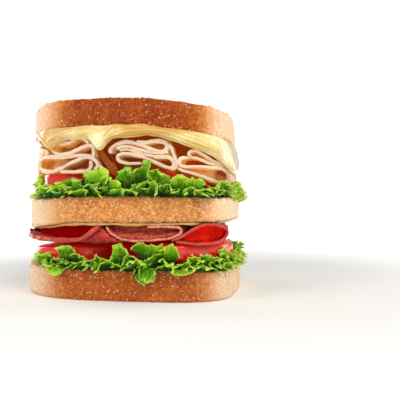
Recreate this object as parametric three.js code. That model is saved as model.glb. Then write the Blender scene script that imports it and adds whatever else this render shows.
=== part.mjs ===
// Triple-decker club sandwich: three bread slices, two fillings, no toothpick.
// Millimetres, +Z up, the front of the sandwich faces -Y.
import * as THREE from "three";

// ---- driving dimensions -------------------------------------------------
const HALF_W = 63; // half width of a bread slice, side to side
const HALF_D = 56; // half depth of a bread slice, front to back
const CORNERS = { fl: 2.4, fr: 4.0, bl: 3.2, br: 3.2 }; // roundness of the slice corners

// Heights of the bread faces before the stack settles.
const BREAD = {
  bread_bottom: { from: 0, to: 16.5, crust: "crust_brown" },
  bread_middle: { from: 40.8, to: 55, crust: "crust_golden" },
  bread_top: { from: 92.9, to: 106.4, crust: "crust_dark" },
};
const CHEESE = { top: 92.4, under: 90.7 };
const SLICE_ROUND = 410; // about the way round a slice
const SPREAD = { top: 40.4, under: 39.7 };
const LEAF_T = 1.0;
const TURKEY_T = 1.5;
const BEEF_T = 1.7;
const INNER_T = 1.4;
const CORE_T = 7.6;
const CORE_SPAN = { low: 73.4, high: 89 };

// How far the fillings stand in from the slice edge, and the y they reach back to.
const TURKEY_INSET = 3.5;
const TURKEY_BACK = -5.6;
const BAND_INSET = { left_band: 1.6, right_loop: 2.6 };
const FOLD_INSET = { left_fold: 2.8, left_back: 6.5, centre: 2.8 };
const BEEF_BACK = -0.3;
const INNER_BACK = 8; // the inner slice of turkey stands this far behind the folds' edges

// How far each level sinks at the left and right ends of the stack.
const LEVELS = [0, 16.5, 40.8, 55, 92.9, 106.4];
const SINK_LEFT = [0, 0, -4.2, -2.2, -1.2, 0.8];
const SINK_RIGHT = [0, -0.8, 0.8, -1.0, -7.4, -7.0];

// Slices of tomato: centre x, centre y, radius, thickness, height of the top, slope along x.
const TOMATOES = {
  tomato_lower_front_left: [-26.0, -20.5, 26.0, 7.2, 29.4, 0],
  tomato_lower_front_right: [31.5, -21.0, 26.0, 6.8, 28.3, 0],
  tomato_lower_back_left: [-31.0, 28.0, 21.0, 6.8, 28.6, 0],
  tomato_lower_back_right: [28.5, 28.5, 21.0, 7.0, 29.0, 0],
  tomato_upper_front_left: [-25.5, -20.5, 26.0, 6.6, 66.5, 0],
  tomato_upper_front_right: [31.5, -21.0, 26.0, 6.6, 67.7, -0.15],
  tomato_upper_back_left: [-31.0, 28.0, 21.0, 6.6, 66.0, 0],
  tomato_upper_back_right: [28.5, 28.5, 21.0, 6.6, 66.2, 0],
};

// Folded slices of turkey, as x,z centre lines seen from the front.
const TURKEY = {
  left_upper: [
    [-12, 84.7], [-17.5, 85.6], [-24, 83.2], [-31, 83.8], [-35.2, 81], [-31, 78.4], [-24, 78.6],
    [-15, 81.3], [-10, 81.6], [-9.2, 78],
  ],
  left_lower: [
    [-19.5, 76.5], [-29, 76], [-41, 76.4], [-45, 73.6], [-38, 69.6], [-31, 70.3], [-20.5, 73.9],
    [-12, 75], [-7.7, 72], [-9.5, 69.2], [-17, 68], [-25.5, 68],
  ],
  centre_upper: [
    [17.5, 83.7], [24, 85.2], [30, 84.3], [30.5, 80.3], [25, 80], [14, 81.8], [6, 82.3],
    [0.8, 79.8], [-0.3, 76.8],
  ],
  centre_lower: [
    [16, 73.2], [8.5, 73], [4.6, 75.8], [8.5, 79.2], [14.5, 78.4], [27, 72.6], [32.5, 71.3],
    [34.9, 74.5], [31.5, 77.5], [24.4, 76.9],
  ],
  right_upper: [
    [58.4, 76.3], [53.5, 78.2], [48.5, 82.2], [44, 83], [42.2, 80], [45.5, 77.7], [50, 76.4],
  ],
  right_lower: [
    [49.6, 74.1], [45, 75], [40, 76.2], [37.3, 73.6], [40, 71], [47.5, 69.3], [55.5, 65.8],
    [59, 67], [57.8, 71.6], [53.4, 73],
  ],
};

// The slice of turkey standing behind the folds, cut to the gaps between them (x, z).
const TURKEY_INNER = [
  [-13, 89.3], [15, 89.3], [43, 89.3], [43, 85], [40.6, 82.5], [40.5, 80], [33, 80.3],
  [32.6, 83.5], [29.5, 86.6], [24, 86.9], [16.5, 85.2], [15, 83.5], [5, 83.7], [-1.6, 79.5],
  [-1.6, 76.2], [3, 74.8], [3.2, 73], [-6.3, 73], [-7.9, 76.6], [-7.9, 81.7], [-10.8, 84],
  [-11.2, 86.4],
];

// Folded slices of corned beef: x,z centre lines, then folds that face the front,
// given as x, low z, high z.
const BEEF = {
  left_band: [
    [-59, 36.2], [-45, 33.4], [-31, 31.8], [-20, 32], [-12, 35.4], [-7, 38], [-3.5, 36],
    [1.4, 31.8],
  ],
  right_loop: [
    [35, 32.5], [41, 34.8], [48, 38], [54, 38], [57.6, 34.8], [55.5, 30.7], [48.5, 30.3],
    [38.6, 30.7],
  ],
};
const BEEF_FOLDS = {
  left_fold: [
    [-16, 30.4, 31.2], [-10.6, 30.2, 34.4], [-7, 30.2, 36.2], [-3, 30.3, 33.4],
    [-0.4, 30.4, 31.3],
  ],
  left_back: [
    [-55, 36.9, 39], [-42, 34.5, 39], [-28, 33.3, 39], [-18, 34.2, 38.9], [-14.6, 36, 38.6],
  ],
  centre: [
    [-2, 37, 38.9], [3.4, 32.9, 39], [9, 31.1, 39], [24, 31.3, 39], [32, 33.6, 39],
    [38.2, 37, 38.9],
  ],
};

// Frilled leaves: floor height, and the edge as lobes of x, size, half width.
const LEAVES = {
  lettuce_lower: {
    root: 16.5, floor: 19.6, slope: 0, seed: 0.8, top: 23.4, rim: 17.4,
    lobes: [
      [-43, 2.6, 5], [-35, 2, 5], [-26, 6.4, 8], [-12, 1.5, 8], [-4, 1.8, 5], [7.5, 7, 8],
      [20.5, 9, 13], [33, 6, 6.5], [44, 2.6, 7], [55, 1.6, 8], [66, 4.5, 9],
    ],
    hangs: [[-34, 2.4, 5.5], [20.8, 7.2, 8.5], [42.2, 1.9, 5]],
  },
  lettuce_upper: {
    root: 55, floor: 57.2, slope: -0.02, seed: 2.6, top: 61, rim: 55.9,
    lobes: [
      [-44, 5, 7], [-28.5, 2.7, 7], [-19, 3.8, 8], [-9, 8, 8], [-2, 8.6, 8], [9, 9.8, 7],
      [21, 14.2, 8], [30, 10.2, 7], [38.5, 7.8, 6.5], [47.5, 7.2, 8], [64, 4.5, 9],
    ],
    hangs: [],
  },
};

// Melted cheese: height of its hem, and where it hangs lower (x, drop, half width).
const HEM = 86.3;
const HANGS = [[-39, 6.3, 9], [-5.5, 7.2, 6], [23, -2.2, 12], [56, 9.5, 16], [67, 12, 12]];

// ---- small helpers ------------------------------------------------------
const clamp = (v, lo, hi) => Math.min(hi, Math.max(lo, v));

function smooth(a, b, v) {
  const t = clamp((v - a) / (b - a), 0, 1);
  return t * t * (3 - 2 * t);
}

// Straight-line lookup in a table of [level, value] rows.
function lookup(table, level) {
  const z = clamp(level, table[0][0], table[table.length - 1][0]);
  const i = Math.max(1, table.findIndex((row) => row[0] >= z));
  const [z0, v0] = table[i - 1];
  const [z1, v1] = table[i];
  return v0 + ((v1 - v0) * (z - z0)) / (z1 - z0);
}

const LEFT_TABLE = LEVELS.map((z, i) => [z, SINK_LEFT[i]]);
const RIGHT_TABLE = LEVELS.map((z, i) => [z, SINK_RIGHT[i]]);

// The stack is drawn level, then everything settles together so layers stay apart.
function settle(p) {
  const left = smooth(-18, -62, p.x);
  const right = Math.min(1.25, Math.pow(Math.max(0, (p.x - 8) / 54), 1.5));
  p.z += left * lookup(LEFT_TABLE, p.z) + right * lookup(RIGHT_TABLE, p.z);
  return p;
}

// A rounded bump, 1 at its middle and 0 past its half width.
function bump(distance, halfWidth) {
  const t = Math.min(1, Math.abs(distance) / halfWidth);
  return (1 - t * t) * (1 - t * t);
}

const lobesAt = (lobes, x) => lobes.map(([at, size, wide]) => size * bump(x - at, wide));
const tallestLobe = (lobes, x) => Math.max(0, ...lobesAt(lobes, x));
const addedLobes = (lobes, x) => lobesAt(lobes, x).reduce((sum, v) => sum + v, 0);

// A value given along the front, carried round the slice: the back is the front turned round.
function roundTheSlice(value, e) {
  const front = value(e.x);
  return front + (value(-e.x) - front) * smooth(-14, 14, e.y);
}

// Distance from the middle of a slice to its edge in one direction.
function reach(angle) {
  const c = Math.cos(angle);
  const s = Math.sin(angle);
  const side = c < 0 ? "l" : "r";
  const n = CORNERS[(s < 0 ? "f" : "b") + side];
  return Math.pow(Math.pow(Math.abs(c) / HALF_W, n) + Math.pow(Math.abs(s) / HALF_D, n), -1 / n);
}

// Points along the slice edge, closer together at the front, each with its outward normal.
function edgePoints(count, frontShare) {
  const fine = 2880;
  const pts = [];
  for (let i = 0; i <= fine; i += 1) {
    const a = (i / fine) * 2 * Math.PI;
    const r = reach(a);
    pts.push([r * Math.cos(a), r * Math.sin(a)]);
  }
  const run = [0];
  for (let i = 1; i <= fine; i += 1) {
    const mid = (pts[i][1] + pts[i - 1][1]) / 2;
    const weight = frontShare + (1 - 2 * frontShare) * smooth(-22, 22, mid);
    run.push(run[i - 1] + weight * Math.hypot(pts[i][0] - pts[i - 1][0], pts[i][1] - pts[i - 1][1]));
  }
  const out = [];
  let j = 0;
  for (let k = 0; k < count; k += 1) {
    const goal = (k / count) * run[fine];
    while (run[j + 1] < goal) j += 1;
    const f = (goal - run[j]) / (run[j + 1] - run[j]);
    const x = pts[j][0] * (1 - f) + pts[j + 1][0] * f;
    const y = pts[j][1] * (1 - f) + pts[j + 1][1] * f;
    const dx = pts[j + 1][0] - pts[j][0];
    const dy = pts[j + 1][1] - pts[j][1];
    const len = Math.hypot(dx, dy);
    out.push({ x, y, nx: dy / len, ny: -dx / len });
  }
  return out;
}

// A point moved in from the edge: along the normal near the edge, towards the middle beyond.
function inset(e, depth) {
  const near = Math.min(depth, 4);
  let x = e.x - e.nx * near;
  let y = e.y - e.ny * near;
  if (depth > 4) {
    const r = Math.hypot(x, y);
    const k = Math.max(0, (r - (depth - 4)) / r);
    x *= k;
    y *= k;
  }
  return [x, y];
}

// The front edge of the slice at x, moved in by depth; turned pieces lie against the back edge.
function frontY(x, depth, turned) {
  const front = x < 0 ? CORNERS.fl : CORNERS.fr;
  const n = turned ? CORNERS.bl : front;
  const t = Math.min(Math.abs(x) / (HALF_W - depth), 0.985);
  return -(HALF_D - depth) * Math.pow(1 - Math.pow(t, n), 1 / n);
}

// One closed mesh gathered from points and triangles.
class Solid {
  constructor() {
    this.points = [];
    this.faces = [];
  }

  point(x, y, z) {
    this.points.push(new THREE.Vector3(x, y, z));
    return this.points.length - 1;
  }

  tri(a, b, c) {
    this.faces.push([a, b, c]);
  }

  quad(a, b, c, d) {
    this.tri(a, b, c);
    this.tri(a, c, d);
  }

  // Join two rings of equal length, both listed anticlockwise seen from outside-up.
  band(low, high) {
    const n = low.length;
    for (let i = 0; i < n; i += 1) {
      const k = (i + 1) % n;
      this.quad(low[i], low[k], high[k], high[i]);
    }
  }

  fan(centre, ring, up) {
    const n = ring.length;
    for (let i = 0; i < n; i += 1) {
      const k = (i + 1) % n;
      if (up) this.tri(centre, ring[i], ring[k]);
      else this.tri(centre, ring[k], ring[i]);
    }
  }

  geometry(turned) {
    const flat = new Float32Array(this.points.length * 3);
    this.points.forEach((p, i) => {
      const q = turned ? new THREE.Vector3(-p.x, -p.y, p.z) : p.clone();
      settle(q);
      flat.set([q.x, q.y, q.z], i * 3);
    });
    const geo = new THREE.BufferGeometry();
    geo.setAttribute("position", new THREE.BufferAttribute(flat, 3));
    geo.setIndex(this.faces.flat());
    geo.computeVertexNormals();
    return geo;
  }
}

// A closed body of rings round the slice: rows of [inset, z], bottom middle to top middle.
function ringBody(edge, rows, lowCentre, highCentre) {
  const s = new Solid();
  const rings = rows.map((row) => edge.map((e, i) => {
    const [depth, z] = row(e, i);
    const [x, y] = inset(e, depth);
    return s.point(x, y, z);
  }));
  s.fan(s.point(0, 0, lowCentre), rings[0], false);
  for (let r = 0; r + 1 < rings.length; r += 1) s.band(rings[r], rings[r + 1]);
  s.fan(s.point(0, 0, highCentre), rings[rings.length - 1], true);
  return s;
}

// ---- the pieces ---------------------------------------------------------
function breadSlice({ from, to }) {
  const edge = edgePoints(32, 0.55);
  const rows = [
    [38, from], [24, from], [11, from], [2.8, from], [0.9, from + 0.8], [0.1, from + 2.8],
    [0.1, to - 3.2], [0.9, to - 1.0], [3.0, to], [11, to], [24, to], [38, to],
  ];
  return ringBody(edge, rows.map((row) => () => row), from, to);
}

function spreadSheet() {
  const edge = edgePoints(26, 0.6);
  const { top, under } = SPREAD;
  const rows = [
    [38, under], [24, under], [11, under], [1.2, under],
    [1.2, top], [11, top], [24, top], [38, top],
  ];
  return ringBody(edge, rows.map((row) => () => row), under, top);
}

// Height of the cheese's lower edge at a point on the slice edge; the back repeats the front.
function cheeseHem(e) {
  return HEM - roundTheSlice((x) => addedLobes(HANGS, x), e);
}

function cheeseSheet() {
  const edge = edgePoints(54, 0.75);
  const { top, under } = CHEESE;
  const hems = edge.map(cheeseHem);
  const rows = [
    () => [38, under],
    () => [24, under],
    () => [11, under],
    () => [3.2, under - 0.2],
    (e, i) => [3.1, Math.min(under - 0.9, hems[i] + 1.1)],
    (e, i) => [2.1, hems[i]],
    (e, i) => [0.2, hems[i] + 0.5],
    (e, i) => [-0.7, hems[i] + 1.9 + 0.1 * (top - hems[i])],
    (e, i) => [-0.3, top - 0.25 * (top - hems[i])],
    () => [0.8, top - 0.2],
    () => [3.0, top],
    () => [11, top],
    () => [24, top],
    () => [38, top],
  ];
  return ringBody(edge, rows, under, top);
}

function tomatoSlice([cx, cy, r, thick, top, slope]) {
  const s = new Solid();
  const n = 16;
  const profile = [[0.55, 0], [0.93, 0], [1, 0.22], [1, 0.78], [0.93, 1], [0.55, 1]];
  const height = (x, f) => top + slope * (x - cx) - thick * (1 - f);
  const rings = profile.map(([k, f]) => Array.from({ length: n }, (_, i) => {
    const a = (i / n) * 2 * Math.PI;
    const x = cx + r * k * Math.cos(a);
    return s.point(x, cy + r * k * Math.sin(a), height(x, f));
  }));
  s.fan(s.point(cx, cy, height(cx, 0)), rings[0], false);
  for (let i = 0; i + 1 < rings.length; i += 1) s.band(rings[i], rings[i + 1]);
  s.fan(s.point(cx, cy, height(cx, 1)), rings[rings.length - 1], true);
  return s;
}

// Evenly spaced points on a smooth curve through the given ones.
function curveThrough(pts, count) {
  const knots = pts.map(([a, b, c = 0]) => new THREE.Vector3(a, b, c));
  const curve = new THREE.CatmullRomCurve3(knots, false, "centripetal");
  return curve.getSpacedPoints(count).map((p) => p.toArray());
}

// A slice folded along a curve seen from the front, running from the front edge inwards.
function foldedSlice(line, thick, frontInset, backY, turned) {
  const pts = curveThrough(line, Math.round(line.length * 2.1));
  const half = thick / 2;
  const sides = pts.map((p, i) => {
    const a = pts[Math.max(0, i - 1)];
    const b = pts[Math.min(pts.length - 1, i + 1)];
    const len = Math.hypot(b[0] - a[0], b[1] - a[1]);
    const nx = -(b[1] - a[1]) / len;
    const nz = (b[0] - a[0]) / len;
    return [[p[0] + nx * half, p[1] + nz * half], [p[0] - nx * half, p[1] - nz * half]];
  });
  const s = new Solid();
  const station = (t) => sides.map((pair) => pair.map(([x, z]) => {
    const front = frontY(x, frontInset, turned);
    return s.point(x, front + (backY - front) * t, z);
  }));
  const front = station(0);
  const back = station(1);
  for (let i = 0; i + 1 < pts.length; i += 1) {
    const [u0, l0] = front[i];
    const [u1, l1] = front[i + 1];
    const [bu0, bl0] = back[i];
    const [bu1, bl1] = back[i + 1];
    s.quad(u0, u1, bu1, bu0);
    s.quad(l0, bl0, bl1, l1);
    s.quad(l0, l1, u1, u0);
    s.quad(bl0, bu0, bu1, bl1);
  }
  const end = pts.length - 1;
  s.quad(front[0][0], back[0][0], back[0][1], front[0][1]);
  s.quad(front[end][0], front[end][1], back[end][1], back[end][0]);
  return s;
}

// A slice folded with the bend at the front: rounded nose, height following the table.
function noseFold(table, frontInset, backY, turned) {
  const s = new Solid();
  const rows = curveThrough(table, 9).map(([x, low, high]) => {
    const front = frontY(x, frontInset, turned);
    const mid = (low + high) / 2;
    const half = (high - low) / 2;
    const loop = [
      [backY, mid - half], [front + 3.4, mid - half], [front + 0.9, mid - half * 0.72],
      [front, mid], [front + 0.9, mid + half * 0.72], [front + 3.4, mid + half],
      [backY, mid + half],
    ];
    return loop.map(([y, z]) => s.point(x, y, z));
  });
  for (let i = 0; i + 1 < rows.length; i += 1) s.band(rows[i + 1], rows[i]);
  const cap = (ring, flip) => {
    for (let k = 1; k + 1 < ring.length; k += 1) {
      if (flip) s.tri(ring[0], ring[k + 1], ring[k]);
      else s.tri(ring[0], ring[k], ring[k + 1]);
    }
  };
  cap(rows[0], false);
  cap(rows[rows.length - 1], true);
  return s;
}

// An upright slice cut to an x,z outline.
function uprightSlice(outline, thick, depthAt) {
  const s = new Solid();
  const shape = outline.map(([x, z]) => new THREE.Vector2(x, z));
  const tris = THREE.ShapeUtils.triangulateShape(shape, []);
  const front = shape.map((p) => s.point(p.x, depthAt(p.x) - thick / 2, p.y));
  const back = shape.map((p) => s.point(p.x, depthAt(p.x) + thick / 2, p.y));
  const turn = THREE.ShapeUtils.isClockWise(shape);
  for (const [a, b, c] of tris) {
    s.tri(front[a], front[b], front[c]);
    s.tri(back[a], back[c], back[b]);
  }
  for (let i = 0; i < shape.length; i += 1) {
    const k = (i + 1) % shape.length;
    if (turn) s.quad(front[i], front[k], back[k], back[i]);
    else s.quad(front[i], back[i], back[k], front[k]);
  }
  return s;
}

// A leaf lying on a slice, drooping over its edge and frilled upwards all round.
function leaf({ root, floor, slope, seed, top, rim, lobes, hangs }) {
  const edge = edgePoints(86, 0.7);
  const tops = edge.map((e) => top + roundTheSlice((x) => tallestLobe(lobes, x), e));
  const rims = edge.map((e) => rim - roundTheSlice((x) => tallestLobe(hangs, x), e));
  const base = (e) => floor + slope * Math.max(0, e.x);
  const waves = 27;
  let run = 0;
  const sway = edge.map((e, i) => {
    const prev = edge[Math.max(0, i - 1)];
    run += Math.hypot(e.x - prev.x, e.y - prev.y);
    const turn = (run / SLICE_ROUND) * 2 * Math.PI;
    return Math.sin(turn * waves + seed) + 0.35 * Math.sin(turn * 7.5 + seed * 3);
  });
  const rows = [
    (e) => [32, base(e)],
    (e) => [13, base(e) + 0.4 * Math.sin(e.x * 0.35 + seed)],
    (e, i) => [5.0, root + 1.1 + 0.25 * sway[i]],
    () => [0.7, root + 1.2],
    (e, i) => [-1.7 - 0.25 * (1 + sway[i]), rims[i] + 0.6],
    (e, i) => [-1.3 - 1.3 * sway[i], (rims[i] + tops[i]) / 2],
    (e, i) => [-1.2 - 2.3 * sway[i], tops[i]],
  ];
  const grid = rows.map((row) => edge.map((e, i) => {
    const [depth, z] = row(e, i);
    const [x, y] = inset(e, depth);
    return new THREE.Vector3(x, y, z);
  }));
  return leafSolid(grid, new THREE.Vector3(0, 0, floor), LEAF_T / 2);
}

// Thicken a sheet of rings about a middle point: both faces get the same triangles.
function leafSolid(grid, middle, half) {
  const rows = grid.length;
  const n = grid[0].length;
  const across = new THREE.Vector3();
  const along = new THREE.Vector3();
  const normals = grid.map((row, r) => row.map((p, i) => {
    const inner = r ? grid[r - 1][i] : middle;
    const outer = grid[Math.min(rows - 1, r + 1)][i];
    across.subVectors(outer, inner);
    along.subVectors(row[(i + 1) % n], row[(i + n - 1) % n]);
    return new THREE.Vector3().crossVectors(across, along).normalize();
  }));
  const s = new Solid();
  const face = (sign) => grid.map((row, r) => row.map((p, i) => {
    const q = p.clone().addScaledVector(normals[r][i], half * sign);
    return s.point(q.x, q.y, q.z);
  }));
  const top = face(1);
  const under = face(-1);
  s.fan(s.point(middle.x, middle.y, middle.z + half), top[0], true);
  s.fan(s.point(middle.x, middle.y, middle.z - half), under[0], false);
  for (let r = 0; r + 1 < rows; r += 1) {
    for (let i = 0; i < n; i += 1) {
      const k = (i + 1) % n;
      s.quad(top[r][i], top[r + 1][i], top[r + 1][k], top[r][k]);
      s.tri(under[r][i], under[r + 1][k], under[r + 1][i]);
      s.tri(under[r][i], under[r][k], under[r + 1][k]);
    }
  }
  s.band(under[rows - 1], top[rows - 1]);
  return s;
}

// ---- finish and assembly ------------------------------------------------
const FINISH = {
  crust_dark: [0x9a4a24, 0.8],
  crust_golden: [0xe0904a, 0.8],
  crust_brown: [0xb45a28, 0.8],
  cheese: [0xf3dd9c, 0.35],
  spread: [0xd9ae52, 0.45],
  turkey: [0xe4c29c, 0.55],
  beef: [0xb4493e, 0.5],
  tomato: [0xc4231d, 0.25],
  lettuce: [0x6fa32a, 0.5],
};

function mesh(name, geometry, finish) {
  const [color, roughness] = FINISH[finish];
  const material = new THREE.MeshStandardMaterial({ color, roughness, metalness: 0 });
  const m = new THREE.Mesh(geometry, material);
  m.name = name;
  return m;
}

function addBreads(group) {
  for (const [name, size] of Object.entries(BREAD)) {
    group.add(mesh(name, breadSlice(size).geometry(false), size.crust));
  }
}

function addLeaves(group) {
  for (const [name, size] of Object.entries(LEAVES)) {
    group.add(mesh(name, leaf(size).geometry(false), "lettuce"));
  }
}

function addTomatoes(group) {
  for (const [name, size] of Object.entries(TOMATOES)) {
    group.add(mesh(name, tomatoSlice(size).geometry(false), "tomato"));
  }
}

// The back half of each filling repeats the front half turned round.
function addFolds(group) {
  for (const [label, turned] of [["front", false], ["back", true]]) {
    for (const [name, line] of Object.entries(TURKEY)) {
      const body = foldedSlice(line, TURKEY_T, TURKEY_INSET, TURKEY_BACK, turned);
      group.add(mesh(`turkey_${label}_${name}`, body.geometry(turned), "turkey"));
    }
    const innerY = (x) => frontY(x, TURKEY_INSET, turned) + INNER_BACK;
    const inner = uprightSlice(TURKEY_INNER, INNER_T, innerY);
    group.add(mesh(`turkey_${label}_inner`, inner.geometry(turned), "turkey"));
    for (const [name, line] of Object.entries(BEEF)) {
      const body = foldedSlice(line, BEEF_T, BAND_INSET[name], BEEF_BACK, turned);
      group.add(mesh(`beef_${label}_${name}`, body.geometry(turned), "beef"));
    }
    for (const [name, table] of Object.entries(BEEF_FOLDS)) {
      const body = noseFold(table, FOLD_INSET[name], BEEF_BACK, turned);
      group.add(mesh(`beef_${label}_${name}`, body.geometry(turned), "beef"));
    }
  }
  const wall = Array.from({ length: 10 }, (_, i) => -52 + (104 * i) / 9);
  const { low, high } = CORE_SPAN;
  const outline = wall.map((x) => [x, high]).concat(wall.map((x) => [x, low]).reverse());
  const core = uprightSlice(outline, CORE_T, () => 0);
  group.add(mesh("turkey_core", core.geometry(false), "turkey"));
}

function addSheets(group) {
  group.add(mesh("spread", spreadSheet().geometry(false), "spread"));
  group.add(mesh("cheese", cheeseSheet().geometry(false), "cheese"));
}

// Move the stack so that the origin is at the bottom centre of its box.
function standAtOrigin(stack) {
  const box = new THREE.Box3().setFromObject(stack);
  const middle = box.getCenter(new THREE.Vector3());
  stack.position.set(-middle.x, -middle.y, -box.min.z);
}

const stack = new THREE.Group();
for (const addLayer of [addBreads, addLeaves, addTomatoes, addSheets, addFolds]) {
  const layer = new THREE.Group();
  addLayer(layer);
  stack.add(layer);
}
standAtOrigin(stack);

const sandwich = new THREE.Group();
sandwich.name = "club_sandwich";
sandwich.add(stack);

export default sandwich;
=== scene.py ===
# %% [markdown]
# # A club sandwich, layer by layer
# A stacked sandwich is three slices of bread with two fillings pressed between them. The packed
# model gives plain solids for all of it: this notebook gives each one its real surface. Lengths
# are in millimetres here and become metres when a mesh is made, as Blender wants them.

# %% Load the packed model
import math

import bmesh
import bpy
import numpy as np
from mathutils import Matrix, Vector


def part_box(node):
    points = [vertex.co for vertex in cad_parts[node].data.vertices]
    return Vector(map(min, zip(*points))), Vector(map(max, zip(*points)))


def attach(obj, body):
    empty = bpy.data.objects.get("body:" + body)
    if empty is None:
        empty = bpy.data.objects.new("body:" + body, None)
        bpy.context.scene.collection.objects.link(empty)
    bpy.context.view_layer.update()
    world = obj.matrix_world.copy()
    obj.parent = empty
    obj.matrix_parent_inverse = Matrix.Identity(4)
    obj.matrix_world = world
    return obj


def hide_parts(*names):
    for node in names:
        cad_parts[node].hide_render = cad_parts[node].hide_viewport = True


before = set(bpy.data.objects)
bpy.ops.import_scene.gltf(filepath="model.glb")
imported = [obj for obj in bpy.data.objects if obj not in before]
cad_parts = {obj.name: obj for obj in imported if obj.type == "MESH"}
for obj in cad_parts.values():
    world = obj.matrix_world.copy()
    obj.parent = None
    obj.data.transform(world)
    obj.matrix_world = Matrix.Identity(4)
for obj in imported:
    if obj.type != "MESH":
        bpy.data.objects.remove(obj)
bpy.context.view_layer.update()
MM = 0.001
print("nodes in the frame:", len(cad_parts))

# %% [markdown]
# Everything in a pressed stack bends together. It is far easier to draw each layer flat, with
# level heights, and to let one function sink all the layers at the end: then two layers that
# are apart when flat stay apart. The flat drawing is shifted so that it lies on the frame.

# %% The flat drawing and how the stack settles
LEVELS = [0, 16.5, 40.8, 55, 92.9, 106.4]
SINK_LEFT = [0, 0, -4.2, -2.2, -1.2, 0.8]
SINK_RIGHT = [0, -0.8, 0.8, -1.0, -7.4, -7.0]
LIFT = [0, 0, 0.7, 0.6, 0.6, 1.7]
TOMATO_MIDDLE = np.array([-26.0, -20.5])

low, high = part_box("tomato_lower_front_left")
tomato_box_middle = np.array([(low.x + high.x) / 2, (low.y + high.y) / 2])
SHIFT = tomato_box_middle / MM - TOMATO_MIDDLE
print("shift from the flat drawing to the frame, mm:", SHIFT.round(3))


def smooth(start, end, value):
    """0 before start, 1 after end, and an S-curve between them."""
    t = np.clip((value - start) / (end - start), 0, 1)
    return t * t * (3 - 2 * t)


def bump(distance, half_width):
    """1 in the middle, falling to 0 at half_width."""
    t = np.clip(np.abs(distance) / half_width, 0, 1)
    return (1 - t * t) ** 2


def settle(points):
    """Sink the ends of the stack, then go to the frame's place and to metres."""
    x, y, z = points[..., 0], points[..., 1], points[..., 2]
    left = smooth(-18, -62, x)
    right = np.minimum(1.25, (np.maximum(0, x - 8) / 54) ** 1.5)
    sunk = z + left * np.interp(z, LEVELS, SINK_LEFT) + right * np.interp(z, LEVELS, SINK_RIGHT)
    sunk = sunk + np.interp(z, LEVELS, LIFT)
    return np.stack([x + SHIFT[0], y + SHIFT[1], sunk], axis=-1) * MM


# %% [markdown]
# All three slices come from one loaf, so they share one outline: a rounded rectangle whose
# corners are rounder at the front left, where the loaf's shoulder was. A Bezier curve would do,
# but a superellipse needs only one number for each corner's roundness, and gives a point and an
# outward normal for any angle.

# %% The outline of a slice
HALF_W, HALF_D = 63.0, 56.0
ROUNDNESS = {"front_left": 2.3, "front_right": 4.6, "back_left": 3.0, "back_right": 2.9}


class Edge:
    """Points round the edge of a slice, anticlockwise from the right, in millimetres."""

    def __init__(self, count, front_share=0.5):
        turn = np.linspace(0, 2 * np.pi, 7201)
        c, s = np.cos(turn), np.sin(turn)
        front = np.where(c < 0, ROUNDNESS["front_left"], ROUNDNESS["front_right"])
        back = np.where(c < 0, ROUNDNESS["back_left"], ROUNDNESS["back_right"])
        power = np.where(s < 0, front, back)
        reach = (np.abs(c / HALF_W) ** power + np.abs(s / HALF_D) ** power) ** (-1 / power)
        x, y = reach * c, reach * s
        step = np.hypot(np.diff(x), np.diff(y))
        share = front_share + (1 - 2 * front_share) * smooth(-22, 22, (y[1:] + y[:-1]) / 2)
        run = np.concatenate([[0], np.cumsum(step * share)])
        length = np.concatenate([[0], np.cumsum(step)])
        goal = np.linspace(0, run[-1], count, endpoint=False)
        self.x, self.y = np.interp(goal, run, x), np.interp(goal, run, y)
        self.run = np.interp(goal, run, length)
        self.round = length[-1]
        tx, ty = np.gradient(x, length), np.gradient(y, length)
        size = np.hypot(tx, ty)
        self.nx = np.interp(goal, run, ty / size)
        self.ny = np.interp(goal, run, -tx / size)

    def inset(self, depth):
        """The same points moved in: along the normal near the edge, to the middle beyond."""
        near = np.minimum(depth, 4.0)
        x, y = self.x - self.nx * near, self.y - self.ny * near
        reach = np.hypot(x, y)
        keep = np.maximum(0, (reach - (np.maximum(depth, 4.0) - 4.0)) / reach)
        return x * keep, y * keep

    def turned(self, value):
        """A value drawn along the front, carried round: the back is the front turned round."""
        front = value(self.x)
        return front + (value(-self.x) - front) * smooth(-14, 14, self.y)


def front_y(x, depth, turned):
    """Where the front edge of the slices is at x, moved in by depth."""
    front = np.where(x < 0, ROUNDNESS["front_left"], ROUNDNESS["front_right"])
    power = np.where(turned, ROUNDNESS["back_left"], front)
    across = np.minimum(np.abs(x) / (HALF_W - depth), 0.985)
    return -(HALF_D - depth) * (1 - across**power) ** (1 / power)


print("round a slice, mm:", round(Edge(400).round, 1))

# %% [markdown]
# Food has no straight line in it, so most shapes below are nudged by noise. Blender has noise
# in its nodes, but a small one in numpy moves a hundred thousand points at once, and the same
# seed always gives the same bumps.


# %% Noise that always comes out the same
def noise(points, size, seed=0):
    """Soft random values from -1 to 1 that change over about size millimetres."""
    place = np.asarray(points, float) / size + seed * 19.7
    cell = np.floor(place).astype(np.int64)
    part = place - cell
    part = part * part * (3 - 2 * part)
    total = 0.0
    for corner in np.ndindex(*([2] * place.shape[-1])):
        key = np.zeros(place.shape[:-1], np.int64)
        weight = 1.0
        for axis, side in enumerate(corner):
            key ^= (cell[..., axis] + side) * (73856093, 19349663, 83492791)[axis]
            weight = weight * (part[..., axis] if side else 1 - part[..., axis])
        key = (key ^ (key >> 13)) * 1274126177
        total = total + weight * (((key ^ (key >> 16)) & 0xFFFF) / 32767.5 - 1)
    return total


def rough(points, size, seed=0, octaves=3):
    """Noise with finer noise on it."""
    return sum(noise(points, size / 2**k, seed + 7 * k) / 2**k for k in range(octaves))


def strip(run, other=0.0):
    """Places for noise along a line, which may also change with a second number."""
    return np.stack(np.broadcast_arrays(run, other), -1)


print("noise every 2 mm along a line:", noise(strip(np.arange(0, 10, 2.0)), 5).round(2))

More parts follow.
